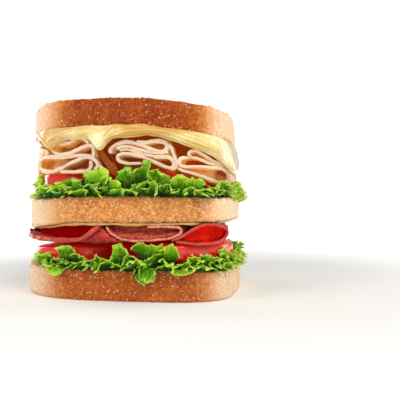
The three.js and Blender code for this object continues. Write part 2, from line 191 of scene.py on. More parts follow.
# %% [markdown]
# Most pieces are nets of points: rings round the slice, or rows along a fold. They could be
# sculpted instead, but in a net every point stays where its formula put it. One function joins
# a net into faces, closes it round, caps its ends and makes the object. The normals are
# recalculated on the closed shell, so every face points out.


# %% The faces of a net
def net_faces(rows, columns, first=0):
    """Four-sided faces between neighbouring rows, closed round."""
    start = first + np.arange(rows - 1)[:, None] * columns
    here = np.arange(columns)[None, :]
    after = (here + 1) % columns
    quads = [start + here, start + after, start + columns + after, start + columns + here]
    return np.stack([np.broadcast_to(q, (rows - 1, columns)) for q in quads], -1).reshape(-1, 4)


print("faces of a net of 3 rows and 4 columns:", len(net_faces(3, 4)))

# %% From a net of points to a piece
PIECES = []


def new_object(name, data):
    """An object in the scene, at the origin."""
    made = bpy.data.objects.new(name, data)
    bpy.context.scene.collection.objects.link(made)
    return made


def store(mesh, label, numbers):
    """Keep one number for each point of a mesh, for the materials to read."""
    mesh.attributes.new(label, "FLOAT", "POINT").data.foreach_set("value", numbers.ravel())


def make_piece(name, node, points, faces, material, values):
    """A smooth object with its place in its mesh, which will stand for a node."""
    mesh = bpy.data.meshes.new(name)
    mesh.from_pydata(points.tolist(), [], [list(f) for f in faces])
    for label, numbers in values.items():
        store(mesh, label, numbers)
    shell = bmesh.new()
    shell.from_mesh(mesh)
    bmesh.ops.recalc_face_normals(shell, faces=shell.faces)
    shell.to_mesh(mesh)
    shell.free()
    mesh.shade_smooth()
    mesh.materials.append(material)
    PIECES.append((new_object(name, mesh), node))
    return PIECES[-1][0]


def closed_net(name, node, net, material, values=None, poles=None):
    """A net closed round, its two ends capped by a fan to a middle point."""
    rows, columns = net.shape[:2]
    if poles is None:
        poles = net[[0, -1]].mean(axis=1)
    points = np.concatenate([settle(net).reshape(-1, 3), settle(np.asarray(poles))])
    last = rows * columns
    side = np.arange(columns)
    after = (side + 1) % columns
    end = (rows - 1) * columns
    faces = net_faces(rows, columns).tolist()
    faces += np.stack([np.full(columns, last), after, side], -1).tolist()
    faces += np.stack([np.full(columns, last + 1), end + side, end + after], -1).tolist()
    ends = {}
    for label, numbers in (values or {}).items():
        ends[label] = np.append(numbers.ravel(), [numbers[0].mean(), numbers[-1].mean()])
    return make_piece(name, node, points, faces, material, ends)


print("pieces so far:", len(PIECES))

# %% [markdown]
# Node trees are written as sums. A small class wraps one node output and overloads the usual
# signs, so that 1 - mask * 0.4 adds its own Math nodes. The same class serves materials and
# geometry nodes, because both kinds of tree know the Math node.


# %% Node sums
class Value:
    """One output of a node, which can be added, taken away, multiplied and divided."""

    def __init__(self, tree, socket):
        self.tree, self.socket = tree, socket

    def math(self, operation, *values):
        return add(self.tree, "ShaderNodeMath", {"operation": operation}, dict(enumerate(values)))

    def of(self, operation):
        """A function of this value alone, such as its cosine."""
        return self.math(operation, self)

    def __add__(self, other):
        return self.math("ADD", self, other)

    def __sub__(self, other):
        return self.math("SUBTRACT", self, other)

    def __mul__(self, other):
        return self.math("MULTIPLY", self, other)

    def __rsub__(self, other):
        return self.math("SUBTRACT", other, self)

    def __rtruediv__(self, other):
        return self.math("DIVIDE", other, self)

    def __pow__(self, other):
        return self.math("POWER", self, other)

    __radd__ = __add__


def add(tree, kind, settings=None, sockets=None, output=0):
    """Add a node, set it up, then fill its sockets with numbers, colours or other outputs."""
    made = tree.nodes.new(kind)
    for key, setting in (settings or {}).items():
        if key == "stops":
            ramp = made.color_ramp
            ramp.elements[0].position, ramp.elements[0].color = setting[0]
            ramp.elements[-1].position, ramp.elements[-1].color = setting[-1]
            for place, colour in setting[1:-1]:
                ramp.elements.new(place).color = colour
        else:
            setattr(made, key, setting)
    for key, value in (sockets or {}).items():
        if isinstance(value, Value):
            tree.links.new(value.socket, made.inputs[key])
        else:
            made.inputs[key].default_value = value
    return Value(tree, made.outputs[output])


print("ways to work with a value:", sum(callable(part) for part in vars(Value).values()) - 1)


# %% Steps, blends and colours
def step(tree, value, start, end):
    """0 where value is below start, 1 above end, smooth between: end may be below start."""
    ranges = {"Value": value, "From Min": start, "From Max": end}
    return add(tree, "ShaderNodeMapRange", {"interpolation_type": "SMOOTHSTEP"}, ranges)


def mix(tree, factor, first, second):
    """Blend two colours."""
    settings = {"data_type": "RGBA", "clamp_factor": True}
    return add(tree, "ShaderNodeMix", settings, {0: factor, 6: first, 7: second}, output=2)


def colour(red, green, blue):
    """A colour picked on a screen, as the light values that shaders use."""
    light = [((c / 255 + 0.055) / 1.055) ** 2.4 if c > 10 else c / 3295 for c in (red, green, blue)]
    return (*light, 1.0)


def between(first, second, share):
    """The colour that lies this share of the way from the first to the second."""
    return tuple(a + (b - a) * share for a, b in zip(first, second))


def faint(share, red, green, blue):
    """A share of a colour, for a glow."""
    return (*(share * c for c in colour(red, green, blue)[:3]), 1.0)


print("mid grey as light:", round(colour(128, 128, 128)[0], 3))

# %% [markdown]
# Materials start from one recipe: a Principled shader, Object coordinates, and a bump. An image
# would need the surface unwrapped first, and patterns made from the coordinates do not. Noise
# sizes are given in millimetres, because a crumb or a pit has a real size.


# %% The start of every material
class Finish:
    """A material being written: its tree, its shader and its pattern coordinates."""

    def __init__(self, name, **sockets):
        self.material = bpy.data.materials.new(name)
        self.material.use_nodes = True
        self.tree = self.material.node_tree
        self.shader = self.tree.nodes["Principled BSDF"]
        for key, value in sockets.items():
            self.shader.inputs[key.replace("_", " ")].default_value = value
        self.place = add(self.tree, "ShaderNodeTexCoord", output="Object")

    def noise(self, size, detail=3.0, roughness=0.55, stretch=(1, 1, 1)):
        """Soft noise from 0 to 1 whose blobs are about size millimetres."""
        place = self.place
        if stretch != (1, 1, 1):
            place = add(self.tree, "ShaderNodeMapping", None, {"Vector": place, "Scale": stretch})
        sockets = {"Vector": place, "Scale": 1 / (size * MM), "Detail": detail}
        sockets["Roughness"] = roughness
        return add(self.tree, "ShaderNodeTexNoise", None, sockets)

    def cells(self, size):
        """Distance to scattered points about size millimetres apart."""
        sockets = {"Vector": self.place, "Scale": 1 / (size * MM)}
        return add(self.tree, "ShaderNodeTexVoronoi", None, sockets)

    def painted(self, label):
        """A number stored on the mesh."""
        return add(self.tree, "ShaderNodeAttribute", {"attribute_name": label}, output="Fac")

    def link(self, value, socket):
        self.tree.links.new(value.socket, self.shader.inputs[socket])

    def relief(self, height, depth, strength):
        """Bump of about depth millimetres."""
        sockets = {"Height": height, "Distance": depth * MM, "Strength": strength}
        self.link(add(self.tree, "ShaderNodeBump", None, sockets), "Normal")


print("what a finish can do:", [part for part in vars(Finish) if part[0] != "_"])

# %% [markdown]
# ## Bread
# A slice of sandwich loaf has a thin baked crust round it and open crumb on both cut faces.
# The front crust is browned and the side crust, which lay against the tin, stays pale. Fine
# pale specks and small pits cover it. Bump alone would leave the slice's outline too smooth, so
# crust and crumb are relief in the mesh. The colours follow two numbers stored on it: how much a
# point belongs to the cut face, and how pale the bake left it.


# %% Crust and crumb
def crust_finish(name, dark, brown, gold, pale, specks):
    """Baked crust in three browns, pale where the bake was, with crumb on the cut faces."""
    finish = Finish(name, Roughness=0.7, Specular_IOR_Level=0.16)
    tree = finish.tree
    crumb = finish.painted("crumb")
    fine = finish.noise(0.8, 3, 0.6)
    side = finish.painted("pale") + (finish.noise(1.7, 4, 0.8) - 0.5) * 0.7
    blotch = step(tree, finish.noise(9, 3, 0.6), 0.32, 0.7)
    grain = step(tree, finish.noise(1.7, 4, 0.8), 0.38, 0.62)
    baked = mix(tree, blotch * 0.3 + grain * 0.7, dark, brown)
    fleck = step(tree, finish.noise(1.3, 2), 0.56, 0.64)
    baked = mix(tree, fleck * 0.7 * specks, baked, gold)
    baked = mix(tree, step(tree, side, 0.02, 0.6), baked, gold)
    creamy = between(pale, gold, 0.5)
    soft = mix(tree, step(tree, finish.noise(1.5, 3, 0.7), 0.36, 0.62), creamy, pale)
    baked = mix(tree, step(tree, side, 0.3, 1.0), baked, soft)
    speck = step(tree, finish.cells(1.9), 0.2 + 0.16 * specks, 0.12 + 0.06 * specks)
    lit = step(tree, finish.noise(3.1, 1), 0.5 - 0.22 * specks, 0.62 - 0.06 * specks)
    bright = speck * lit * (0.45 + 0.5 * specks)
    baked = mix(tree, bright, baked, mix(tree, side, colour(252, 214, 162), colour(255, 246, 232)))
    pit = step(tree, finish.cells(3.1), 0.19, 0.09) * step(tree, finish.noise(5, 1), 0.47, 0.57)
    # The pits are also painted dark: painted shade in the hollows.
    baked = mix(tree, pit * 0.55, baked, dark)
    inside = mix(tree, finish.noise(1.6, 4, 0.6), colour(216, 168, 104), colour(252, 234, 196))
    fringe = step(tree, crumb, 0.02, 0.3) * step(tree, finish.noise(1.3, 2), 0.42, 0.56)
    baked = mix(tree, fringe * 0.7, baked, colour(206, 132, 30))
    rim = step(tree, crumb, 0.25, 0.75)
    finish.link(mix(tree, rim, baked, inside), "Base Color")
    rough_skin = fine * 0.5 + grain * 0.5 - pit * 0.6
    open_crumb = step(tree, finish.cells(1.5), 0.1, 0.5)
    finish.relief(rough_skin + (open_crumb - rough_skin) * rim * 0.9, 0.45, 0.8)
    return finish.material


CRUSTS = {
    "bread_top": crust_finish(
        "crust dark", colour(124, 46, 10), colour(184, 84, 28), colour(222, 138, 62),
        colour(255, 224, 190), 0.35,
    ),
    "bread_middle": crust_finish(
        "crust golden", colour(194, 96, 30), colour(250, 178, 102), colour(246, 184, 120),
        colour(255, 228, 196), 0.9,
    ),
    "bread_bottom": crust_finish(
        "crust brown", colour(158, 66, 18), colour(214, 112, 46), colour(230, 150, 86),
        colour(255, 226, 192), 0.6,
    ),
}
print("crusts:", [material.name for material in CRUSTS.values()])

# %% [markdown]
# Geometry nodes suit the relief, because it follows a rule over the whole surface: wrinkles
# and pits on the crust, pores on the crumb, all pushed along the normal. A second tree scatters
# loose crumbs where the crust was cut, as instances that are made real at the end.


# %% Trees and how they run
def geometry_tree(name, sizes):
    """A tree with geometry in and out, and a named input for each size."""
    tree = bpy.data.node_groups.new(name, "GeometryNodeTree")
    tree.interface.new_socket("Geometry", in_out="INPUT", socket_type="NodeSocketGeometry")
    tree.interface.new_socket("Geometry", in_out="OUTPUT", socket_type="NodeSocketGeometry")
    for label, (kind, start) in sizes.items():
        socket = tree.interface.new_socket(label, in_out="INPUT", socket_type=kind)
        if start is not None:
            socket.default_value = start
    inlet = tree.nodes.new("NodeGroupInput")
    given = {s.name: Value(tree, s) for s in inlet.outputs if s.name}
    return tree, given


def finish_tree(tree, geometry, material):
    """Make instances real, set the material and pass the result out."""
    real = add(tree, "GeometryNodeRealizeInstances", None, {"Geometry": geometry})
    coated = add(tree, "GeometryNodeSetMaterial", None, {"Geometry": real, "Material": material})
    outlet = tree.nodes.new("NodeGroupOutput")
    tree.links.new(coated.socket, outlet.inputs["Geometry"])


def run_tree(piece, tree, sizes):
    """Run a tree on a piece with these sizes and keep the result as its plain mesh."""
    modifier = piece.modifiers.new("shape", "NODES")
    modifier.node_group = tree
    for item in tree.interface.items_tree:
        if item.in_out == "INPUT" and item.name in sizes:
            modifier[item.identifier] = sizes[item.name]
    graph = bpy.context.evaluated_depsgraph_get()
    shaped = piece.evaluated_get(graph)
    mesh = bpy.data.meshes.new_from_object(shaped, preserve_all_data_layers=True, depsgraph=graph)
    piece.modifiers.clear()
    piece.data = mesh
    mesh.shade_smooth()


def stored(tree, label):
    """A number stored on the mesh, in a geometry tree."""
    return add(tree, "GeometryNodeInputNamedAttribute", None, {"Name": label})


print("geometry trees so far:", len(bpy.data.node_groups))


# %% Relief of crust and crumb
def relief_tree():
    """Wrinkles and pits on the crust, and pores on the crumb."""
    size = "NodeSocketFloat"
    tree, given = geometry_tree(
        "bread relief",
        {
            "Wrinkle size": (size, 5.0), "Wrinkle depth": (size, 0.5),
            "Pit size": (size, 3.0), "Pit depth": (size, 0.5),
            "Pore size": (size, 3.0), "Pore depth": (size, 1.0),
            "Material": ("NodeSocketMaterial", None),
        },
    )
    place = add(tree, "GeometryNodeInputPosition")
    normal = add(tree, "GeometryNodeInputNormal")

    def pattern(kind, label, **extra):
        """A noise or cell pattern whose size is one of the tree's inputs."""
        return add(tree, kind, None, {"Vector": place, "Scale": 1 / (given[label] * MM), **extra})

    wrinkle = pattern("ShaderNodeTexNoise", "Wrinkle size", Detail=4.0) - 0.5
    pit = step(tree, pattern("ShaderNodeTexVoronoi", "Pit size"), 0.28, 0.08)
    chosen = step(tree, pattern("ShaderNodeTexNoise", "Wrinkle size", Detail=0.0), 0.5, 0.6)
    crust = wrinkle * given["Wrinkle depth"] - pit * chosen * given["Pit depth"]
    pores = step(tree, pattern("ShaderNodeTexVoronoi", "Pore size"), 0.42, 0.1)
    sponge = pattern("ShaderNodeTexNoise", "Pore size", Detail=3.0) - 0.5
    crumb = sponge * given["Pore depth"] - pores * given["Pore depth"]
    share = stored(tree, "crumb")
    push = (crust * (1 - share) + crumb * share) * MM
    along = add(tree, "ShaderNodeVectorMath", {"operation": "SCALE"}, {0: normal, "Scale": push})
    moved = {"Geometry": given["Geometry"], "Offset": along}
    finish_tree(tree, add(tree, "GeometryNodeSetPosition", None, moved), given["Material"])
    return tree


BREAD_RELIEF = relief_tree()
print("relief tree nodes:", len(BREAD_RELIEF.nodes))


# %% Loose crumbs
def crumbs_tree():
    """Torn crumbs, scattered where the number called edge is above 0."""
    size = "NodeSocketFloat"
    tree, given = geometry_tree(
        "crumbs",
        {
            "Density": (size, 40000.0), "Crumb size": (size, 0.3), "Spread": (size, 0.4),
            "Seed": ("NodeSocketInt", 3), "Material": ("NodeSocketMaterial", None),
        },
    )
    spread = {"Mesh": given["Geometry"], "Seed": given["Seed"]}
    spread["Density"] = stored(tree, "edge") * given["Density"]
    spots = add(tree, "GeometryNodeDistributePointsOnFaces", None, spread)
    ball = {"Radius": given["Crumb size"] * MM, "Subdivisions": 1}
    ball = add(tree, "GeometryNodeMeshIcoSphere", None, ball)
    kind = {"data_type": "FLOAT"}
    sizes = add(tree, "FunctionNodeRandomValue", kind, {2: 0.45, 3: 1.5, "Seed": 5}, output=1)
    shade = add(tree, "FunctionNodeRandomValue", kind, {2: 0.1, 3: 0.7, "Seed": 6}, output=1)
    turns = add(
        tree, "FunctionNodeRandomValue", {"data_type": "FLOAT_VECTOR"}, {1: (6.3, 6.3, 6.3), "Seed": 7}
    )
    put = {"Points": spots, "Instance": ball, "Scale": sizes, "Rotation": turns}
    put = add(tree, "GeometryNodeInstanceOnPoints", None, put)
    kept = {"Geometry": put, "Name": "crumb", "Value": shade}
    kept = add(tree, "GeometryNodeStoreNamedAttribute", {"domain": "INSTANCE"}, kept)
    real = add(tree, "GeometryNodeRealizeInstances", None, {"Geometry": kept})
    place = add(tree, "GeometryNodeInputPosition")
    torn = {"Vector": place, "Scale": 1 / (given["Crumb size"] * MM), "Detail": 1.0}
    torn = add(tree, "ShaderNodeTexNoise", None, torn, output="Color")
    centred = add(tree, "ShaderNodeVectorMath", {"operation": "SUBTRACT"}, {0: torn, 1: (0.5,) * 3})
    push = {0: centred, "Scale": given["Spread"] * MM}
    push = add(tree, "ShaderNodeVectorMath", {"operation": "SCALE"}, push)
    crumbs = add(tree, "GeometryNodeSetPosition", None, {"Geometry": real, "Offset": push})
    joined = tree.nodes.new("GeometryNodeJoinGeometry")
    for part in (given["Geometry"], crumbs):
        tree.links.new(part.socket, joined.inputs[0])
    finish_tree(tree, Value(tree, joined.outputs[0]), given["Material"])
    return tree


CRUMBS = crumbs_tree()
print("crumb tree nodes:", len(CRUMBS.nodes))

# %% [markdown]
# The slice itself is rings round the loaf: across the lower face, up the crust, and back over
# the upper face. A box with rounded edges has much the same form, but rings can droop at one end
# and carry their own numbers. Only the faces that can be seen get many. The pale ends reach
# further in on one slice than on another, and the back of each is its front turned round.

# %% The sizes of the slices
# Heights, rings on the lower and upper face, how far in it stands, how much further in its pale
# ends reach, how its left end tucks in and droops, and the crumbs along its lower and upper cut.
SLICES = {
    "bread_bottom": {
        "from": 0.0, "to": 16.5, "under": 34, "over": 20, "inset": 0.0,
        "pale": -1.4, "tuck": 0.0, "droop": 0.0, "shoulder": 0.0, "crumbs": (0.15, 0.6),
    },
    "bread_middle": {
        "from": 40.8, "to": 55.0, "under": 20, "over": 20, "inset": 1.0,
        "pale": -2.5, "tuck": 0.0, "droop": 0.0, "shoulder": 0.0, "crumbs": (0.8, 0.5),
    },
    "bread_top": {
        "from": 92.3, "to": 106.4, "under": 20, "over": 62, "inset": 2.4,
        "pale": -1.0, "tuck": 1.0, "droop": 3.0, "shoulder": 3.2, "crumbs": (1.0, 0.3),
    },
}
# How far the rounding between crust and cut face goes.
ARRIS = 1.5
# How pale the bake is along the front: x and paleness.
BAKE = np.array([
    [-56, 1.15], [-50, 1.0], [-42, 0.78], [-36, 0.58], [-30, 0.36], [-25, 0.18], [-18, 0.0],
    [36, 0.0], [45, 0.2], [50, 0.42], [53.5, 0.62], [57, 0.85], [61, 1.0], [63, 1.1],
])
print("thickness, mm:", {node: round(size["to"] - size["from"], 1) for node, size in SLICES.items()})


# %% The rings of a slice
def bread_rows(size):
    """Rings of a slice: share kept towards the middle, how far in, height, cut face, crumbs."""
    low, high = size["from"], size["to"]
    steps = [math.pi / 2 * k / 6 for k in range(7)]
    rows = [((k + 0.5) / size["under"], ARRIS, low, 1.0, 0.0) for k in range(size["under"])]
    for k, turn in enumerate(steps):
        inward, rise = ARRIS - 1.3 * math.sin(turn), ARRIS * (1 - math.cos(turn))
        rows.append((1, inward, low + rise, max(0.0, 1 - 1.7 * k / 6), size["crumbs"][0]))
    for k in range(1, 18):
        inward = 0.2 - 0.35 * math.sin(math.pi * k / 18)
        rows.append((1, inward, low + ARRIS + (high - low - 2 * ARRIS) * k / 18, 0.0, 0.0))
    for k, turn in enumerate(steps):
        inward, fall = ARRIS - 1.3 * math.cos(turn), ARRIS * (1 - math.sin(turn))
        rows.append((1, inward, high - fall, max(0.0, 1.7 * k / 6 - 0.7), size["crumbs"][1]))
    over = size["over"]
    return rows + [(1 - (k + 0.5) / over, ARRIS, high, 1.0, 0.0) for k in range(over)]


print("rings:", {node: len(bread_rows(size)) for node, size in SLICES.items()})


# %% The three slices
def left_end(x):
    """0 along the front, 1 at its left end."""
    return smooth(-40, -57, x)


def left_tip(x):
    """0 along the front, rising slowly and then fast to 1 at its left end."""
    return 0.3 * smooth(-30, -48, x) + 0.7 * smooth(-46, -61, x)


def bread_slice(node, size, seed):
    """One slice: the net, then the relief and the crumbs."""
    edge = Edge(620)
    ragged = 0.28 * rough(strip(edge.run), 3.0, seed)
    middle_height, half_height = (size["from"] + size["to"]) / 2, (size["to"] - size["from"]) / 2
    pale = edge.turned(lambda x: np.interp(x + size["pale"] * np.sign(x), BAKE[:, 0], BAKE[:, 1]))
    net, numbers = [], {"crumb": [], "edge": [], "pale": []}
    for keep, inward, height, face, crumbs in bread_rows(size):
        x, y = edge.inset(inward + size["inset"] + size["tuck"] * edge.turned(left_end))
        level = (height - middle_height) / half_height
        torn = ragged * level**7 if keep == 1 else ragged * level * keep**8
        droop = size["droop"] * edge.turned(left_end) * (1 - level) / 2
        droop = droop + size["shoulder"] * edge.turned(left_tip) * (1 + level) / 2
        droop = droop * keep**5
        net.append(np.stack([x * keep, y * keep, height + torn - droop], -1))
        numbers["crumb"].append(np.full(x.shape, face))
        numbers["edge"].append(np.full(x.shape, crumbs))
        numbers["pale"].append(pale)
    values = {label: np.array(rows) for label, rows in numbers.items()}
    poles = [[0, 0, size["from"]], [0, 0, size["to"]]]
    crust = CRUSTS[node]
    piece = closed_net(node.replace("bread", "slice"), node, np.array(net), crust, values, poles)
    sizes = {"Wrinkle size": 4.5, "Wrinkle depth": 0.9, "Pit size": 3.2, "Pit depth": 0.55}
    sizes.update({"Pore size": 2.6, "Pore depth": 0.9, "Material": crust})
    run_tree(piece, BREAD_RELIEF, sizes)
    sizes = {"Density": 550000.0, "Crumb size": 0.34, "Spread": 0.7, "Seed": seed, "Material": crust}
    run_tree(piece, CRUMBS, sizes)
    print(piece.name, len(piece.data.polygons), "faces")


for seed, (node, size) in enumerate(SLICES.items()):
    bread_slice(node, size, seed)

# %% [markdown]
# ## Melted cheese
# A slice of cheese under the top bread has melted down over the filling. It thins to a skin
# where it bridges a gap and gathers into rounded drips where it runs. Cloth dropped over the
# filling would hang where it liked, so a table of heights gives the hem its drips, and soft
# ridges show where its face sagged. The sheet is one closed net: out over the filling, down the
# inside, round the hem, up the outside and back in under the bread.

# %% The cheese's hem and sags
CHEESE_TOP, CHEESE_UNDER = 92.8, 90.2
# The hem along the front: x and height.
HEM = np.array([
    [-63, 88.4], [-52, 89.2], [-48.5, 89.0], [-45, 87.2], [-42.1, 84.9], [-39, 82.0], [-36.1, 80.1],
    [-34.2, 82.2], [-29, 84.4], [-23, 85.3], [-16, 86.3], [-12.5, 85.0], [-10.1, 83.0], [-8, 80.4],
    [-6.4, 79.0], [-4.6, 79.1], [-3.4, 80.0], [-1.7, 82.9], [1.9, 85.5], [9.2, 85.2], [14, 86.4],
    [20, 88.0], [27.9, 87.4], [36.6, 85.2], [45.9, 82.8], [52, 80.6], [55.6, 79.2], [59.3, 77.6],
    [61.3, 75.4], [62.4, 72.0], [63, 70.5],
])
# Ridges on the face: from x, z to x, z, half width and height.
SAGS = [
    [-36, 86, -24, 91, 1.6, 1.1], [-49, 92, -38, 82, 2.4, 1.0], [-30, 88, -14, 88.5, 2.2, 0.8],
    [-20, 86, -12, 90, 2.6, 0.8], [-6, 80, 3, 90, 2.6, 1.3], [-2, 85, 10, 89.0, 1.8, 1.5],
    [10, 89.0, 30, 91.0, 1.8, 1.6], [30, 91.0, 54, 84.0, 1.9, 1.6], [13, 92.4, 26, 92.0, 1.2, 1.3],
    [34, 87.5, 52, 82.5, 1.5, 1.0], [55, 88, 58.5, 78, 2.4, 1.3], [40, 91, 50, 89, 2.0, 0.7],
    [60, 84, 62, 74, 1.8, 1.2],
]


def hem_at(x):
    """The hem's height at x, its corners rounded off."""
    return sum(np.interp(x + 0.5 * k, HEM[:, 0], HEM[:, 1]) for k in range(-2, 3)) / 5


def ridges(x, z, lines):
    """Rounded ridges along short lines on a face."""
    total = 0.0
    for x0, z0, x1, z1, wide, tall in lines:
        dx, dz = x1 - x0, z1 - z0
        along = np.clip(((x - x0) * dx + (z - z0) * dz) / (dx**2 + dz**2), 0, 1)
        away = np.hypot(x - x0 - along * dx, z - z0 - along * dz)
        total = np.maximum(total, tall * bump(away, wide))
    return total


print("the hem's lowest and highest point:", HEM[:, 1].min(), HEM[:, 1].max())


# %% Cheese that has just melted
def cheese_finish():
    """Milky where thick, paler in the low drips, which are creamy and also painted highlights; amber where
    thin and as painted shade; a faint painted glow and a wet gloss.
    """
    # The faint emission is a painted glow that lifts the cheese's shaded parts.
    finish = Finish(
        "melted cheese", Roughness=0.3, Specular_IOR_Level=0.5, Subsurface_Weight=0.3,
        Subsurface_Radius=(0.004, 0.0025, 0.001), Subsurface_Scale=1.0, Coat_Weight=0.8,
        Coat_Roughness=0.08, Emission_Color=faint(0.07, 240, 180, 80), Emission_Strength=1.0,
    )
    tree = finish.tree
    thin = finish.painted("thin")
    cloud = step(tree, finish.noise(12, 2), 0.34, 0.66)
    milky = mix(tree, cloud, colour(222, 190, 110), colour(242, 228, 172))
    # Pale patches in the low drips: creamy cheese, and painted highlights too.
    milky = mix(tree, finish.painted("cream") * (cloud * 0.6 + 0.15), milky, colour(255, 246, 218))
    # Amber where the cheese is thin, and also painted shade towards the left end and under the bread.
    amber = step(tree, thin + (finish.noise(4, 2) - 0.5) * 0.5, 0.35, 1.0)
    finish.link(mix(tree, amber * 0.75, milky, colour(206, 154, 58)), "Base Color")
    finish.link(0.24 + finish.noise(3, 2) * 0.2, "Roughness")
    finish.relief(finish.noise(2.2, 2), 0.25, 0.5)
    return finish.material


CHEESE = cheese_finish()
print("cheese nodes:", len(CHEESE.node_tree.nodes))


# %% The sheet of cheese
def flat_rings(edge, depth, z, shares):
    """Level rings, each a share of the way from the middle to a line moved in by depth."""
    x, y = edge.inset(depth)
    return [np.stack([x * share, y * share, np.full_like(x, z)], -1) for share in shares]


def cheese_sheet():
    """The net of the cheese: inner face, hem, outer face and the part under the bread."""
    edge = Edge(980, 0.72)
    hem = edge.turned(hem_at) - 0.5 * rough(strip(edge.run), 9, 3)
    top = CHEESE_TOP + 0.5 * rough(strip(edge.run), 9, 4)
    top = top - 2.9 * edge.turned(left_end) + 0.7 * edge.turned(lambda x: bump(x - 16, 6))
    tuck = 4.4 * edge.turned(left_end)
    # Thin where the cheese bridges the middle; the left end and the top under the bread are darkened too,
    # as painted shade.
    thin = edge.turned(lambda x: bump(x - 22, 26)) + 0.3 * np.clip((hem - 84) / 4, 0, 1)
    thin = thin + 1.3 * edge.turned(lambda x: smooth(-14, -36, x))
    lip = 1.7 - 1.2 * edge.turned(lambda x: bump(x - 16, 9))
    net = flat_rings(edge, 3.2, CHEESE_UNDER, np.linspace(0.1, 0.92, 8))
    for up in np.linspace(1, 0.1, 9):
        x, y = edge.inset(2.6 + 0.8 * up + tuck)
        z = hem + 1.2 + up * np.maximum(0.2, CHEESE_UNDER - 1.1 - hem)
        net.append(np.stack([x, y, z], -1))
    for turn in np.linspace(0.15, 0.85, 6):
        x, y = edge.inset(1.1 + 1.35 * np.cos(np.pi * (1 - turn)) + tuck)
        net.append(np.stack([x, y, hem + 1.1 - 1.1 * np.sin(np.pi * turn)], -1))
    height = [0.0] * len(net)
    for up in np.linspace(0.0, 1, 30):
        fall = top - hem
        z = hem + 1.1 + (fall - 1.1) * up
        belly = 0.9 * np.sin(np.pi * np.minimum(1, up * 1.25)) * (0.5 + 0.05 * fall)
        lumps = edge.turned(lambda x: ridges(x, z, SAGS)) + 0.35 * rough(strip(edge.run, z), 8, 5)
        depth = -belly - lumps * np.sin(np.pi * min(1, up + 0.12)) ** 0.5 + lip * up**6
        x, y = edge.inset(depth + tuck * (1 - 0.5 * up))
        net.append(np.stack([x, y, z], -1))
        height.append(up**3)
    net += flat_rings(edge, 3.2, CHEESE_TOP, np.linspace(0.97, 0.1, 8))
    height += [0.0] * 8
    values = {"thin": np.array([thin + 0.5 * up for up in height])}
    # Paler where the hem hangs low: thicker drips, and painted highlights.
    values["cream"] = np.repeat(np.clip((82 - hem) / 7, 0, 1)[None, :], len(net), 0)
    poles = [[0, 0, CHEESE_UNDER], [0, 0, CHEESE_TOP]]
    piece = closed_net("cheese_melted", "cheese", np.array(net), CHEESE, values, poles)
    print(piece.name, len(piece.data.polygons), "faces")


cheese_sheet()

# %% [markdown]
# Under the middle slice is a thin yellow spread. A flat plate would show as one straight line,
# so this is a sheet whose rounded lip wanders a little in and out, as a knife leaves it. Where
# meat hides it, it keeps back from the edge.

# %% The yellow spread
SPREAD_TOP, SPREAD_UNDER = 40.6, 39.2


def spread_finish():
    """Smooth yellow, its own colour darkened by painted shade under the bread, with a little gloss."""
    finish = Finish("yellow spread", Roughness=0.3, Specular_IOR_Level=0.5, Coat_Weight=0.3)
    yellow = mix(finish.tree, finish.noise(6, 3), colour(184, 126, 48), colour(226, 182, 100))
    finish.link(yellow, "Base Color")
    finish.relief(finish.noise(1.8, 2), 0.3, 0.5)
    return finish.material


def spread_sheet():
    """Two level faces joined by a rounded lip."""
    edge = Edge(520, 0.65)
    seen = edge.turned(lambda x: smooth(-36, -28, x) * smooth(52, 44, x))
    lip = 2.0 + 3.2 * (1 - seen) + 0.7 * rough(strip(edge.run), 9, 8)
    drip = 0.5 * noise(strip(edge.run), 6, 9)
    shares = (0.15, 0.5, 0.9)
    net = flat_rings(edge, 6.0, SPREAD_UNDER + 1, shares)
    for turn in np.linspace(0, 1, 9):
        x, y = edge.inset(lip + 0.8 - 0.8 * np.sin(np.pi * turn))
        rise = (1 - np.cos(np.pi * turn)) / 2
        z = SPREAD_UNDER - drip + (SPREAD_TOP - SPREAD_UNDER + drip) * rise
        net.append(np.stack([x, y, z], -1))
    net += flat_rings(edge, 6.0, SPREAD_TOP, shares[::-1])
    poles = [[0, 0, SPREAD_UNDER + 1], [0, 0, SPREAD_TOP]]
    piece = closed_net("spread_layer", "spread", np.array(net), spread_finish(), None, poles)
    print(piece.name, len(piece.data.polygons), "faces")


spread_sheet()

# %% [markdown]
# ## Folded meat
# A thin slice of meat, folded like a ribbon, shows its cut edge at the front as a wavy line and
# its smooth side inside each loop. A simulated sheet would fold in its own way, so the line is
# drawn as seen from the front, a few chosen points joined by a smooth curve, and the slice runs
# back from it. The front edge is a little ragged, the sheet waves more the deeper it goes, and
# a number on the mesh marks the cut edge, which is paler than the side.


# %% A smooth curve through points
GAP = 0.55


def curve_through(points):
    """Points GAP apart on the centripetal Catmull-Rom curve, which passes through all points."""
    knots = np.array(points, float)
    knots = np.vstack([2 * knots[0] - knots[1], knots, 2 * knots[-1] - knots[-2]])
    parts = []
    for a, b, c, d in zip(knots, knots[1:], knots[2:], knots[3:]):
        t1 = np.linalg.norm(b - a) ** 0.5
        t2 = t1 + np.linalg.norm(c - b) ** 0.5
        t3 = t2 + np.linalg.norm(d - c) ** 0.5
        t = np.linspace(t1, t2, 24, endpoint=False)[:, None]
        ab = a + (b - a) * t / t1
        bc = b + (c - b) * (t - t1) / (t2 - t1)
        cd = c + (d - c) * (t - t2) / (t3 - t2)
        abc = ab + (bc - ab) * t / t2
        bcd = bc + (cd - bc) * (t - t1) / (t3 - t1)
        parts.append(abc + (bcd - abc) * (t - t1) / (t2 - t1))
    line = np.vstack([*parts, knots[-2:-1]])
    run = np.concatenate([[0], np.cumsum(np.linalg.norm(np.diff(line, axis=0), axis=1))])
    goal = np.linspace(0, run[-1], max(3, round(run[-1] / GAP)))
    return np.stack([np.interp(goal, run, line[:, k]) for k in range(line.shape[1])], -1)


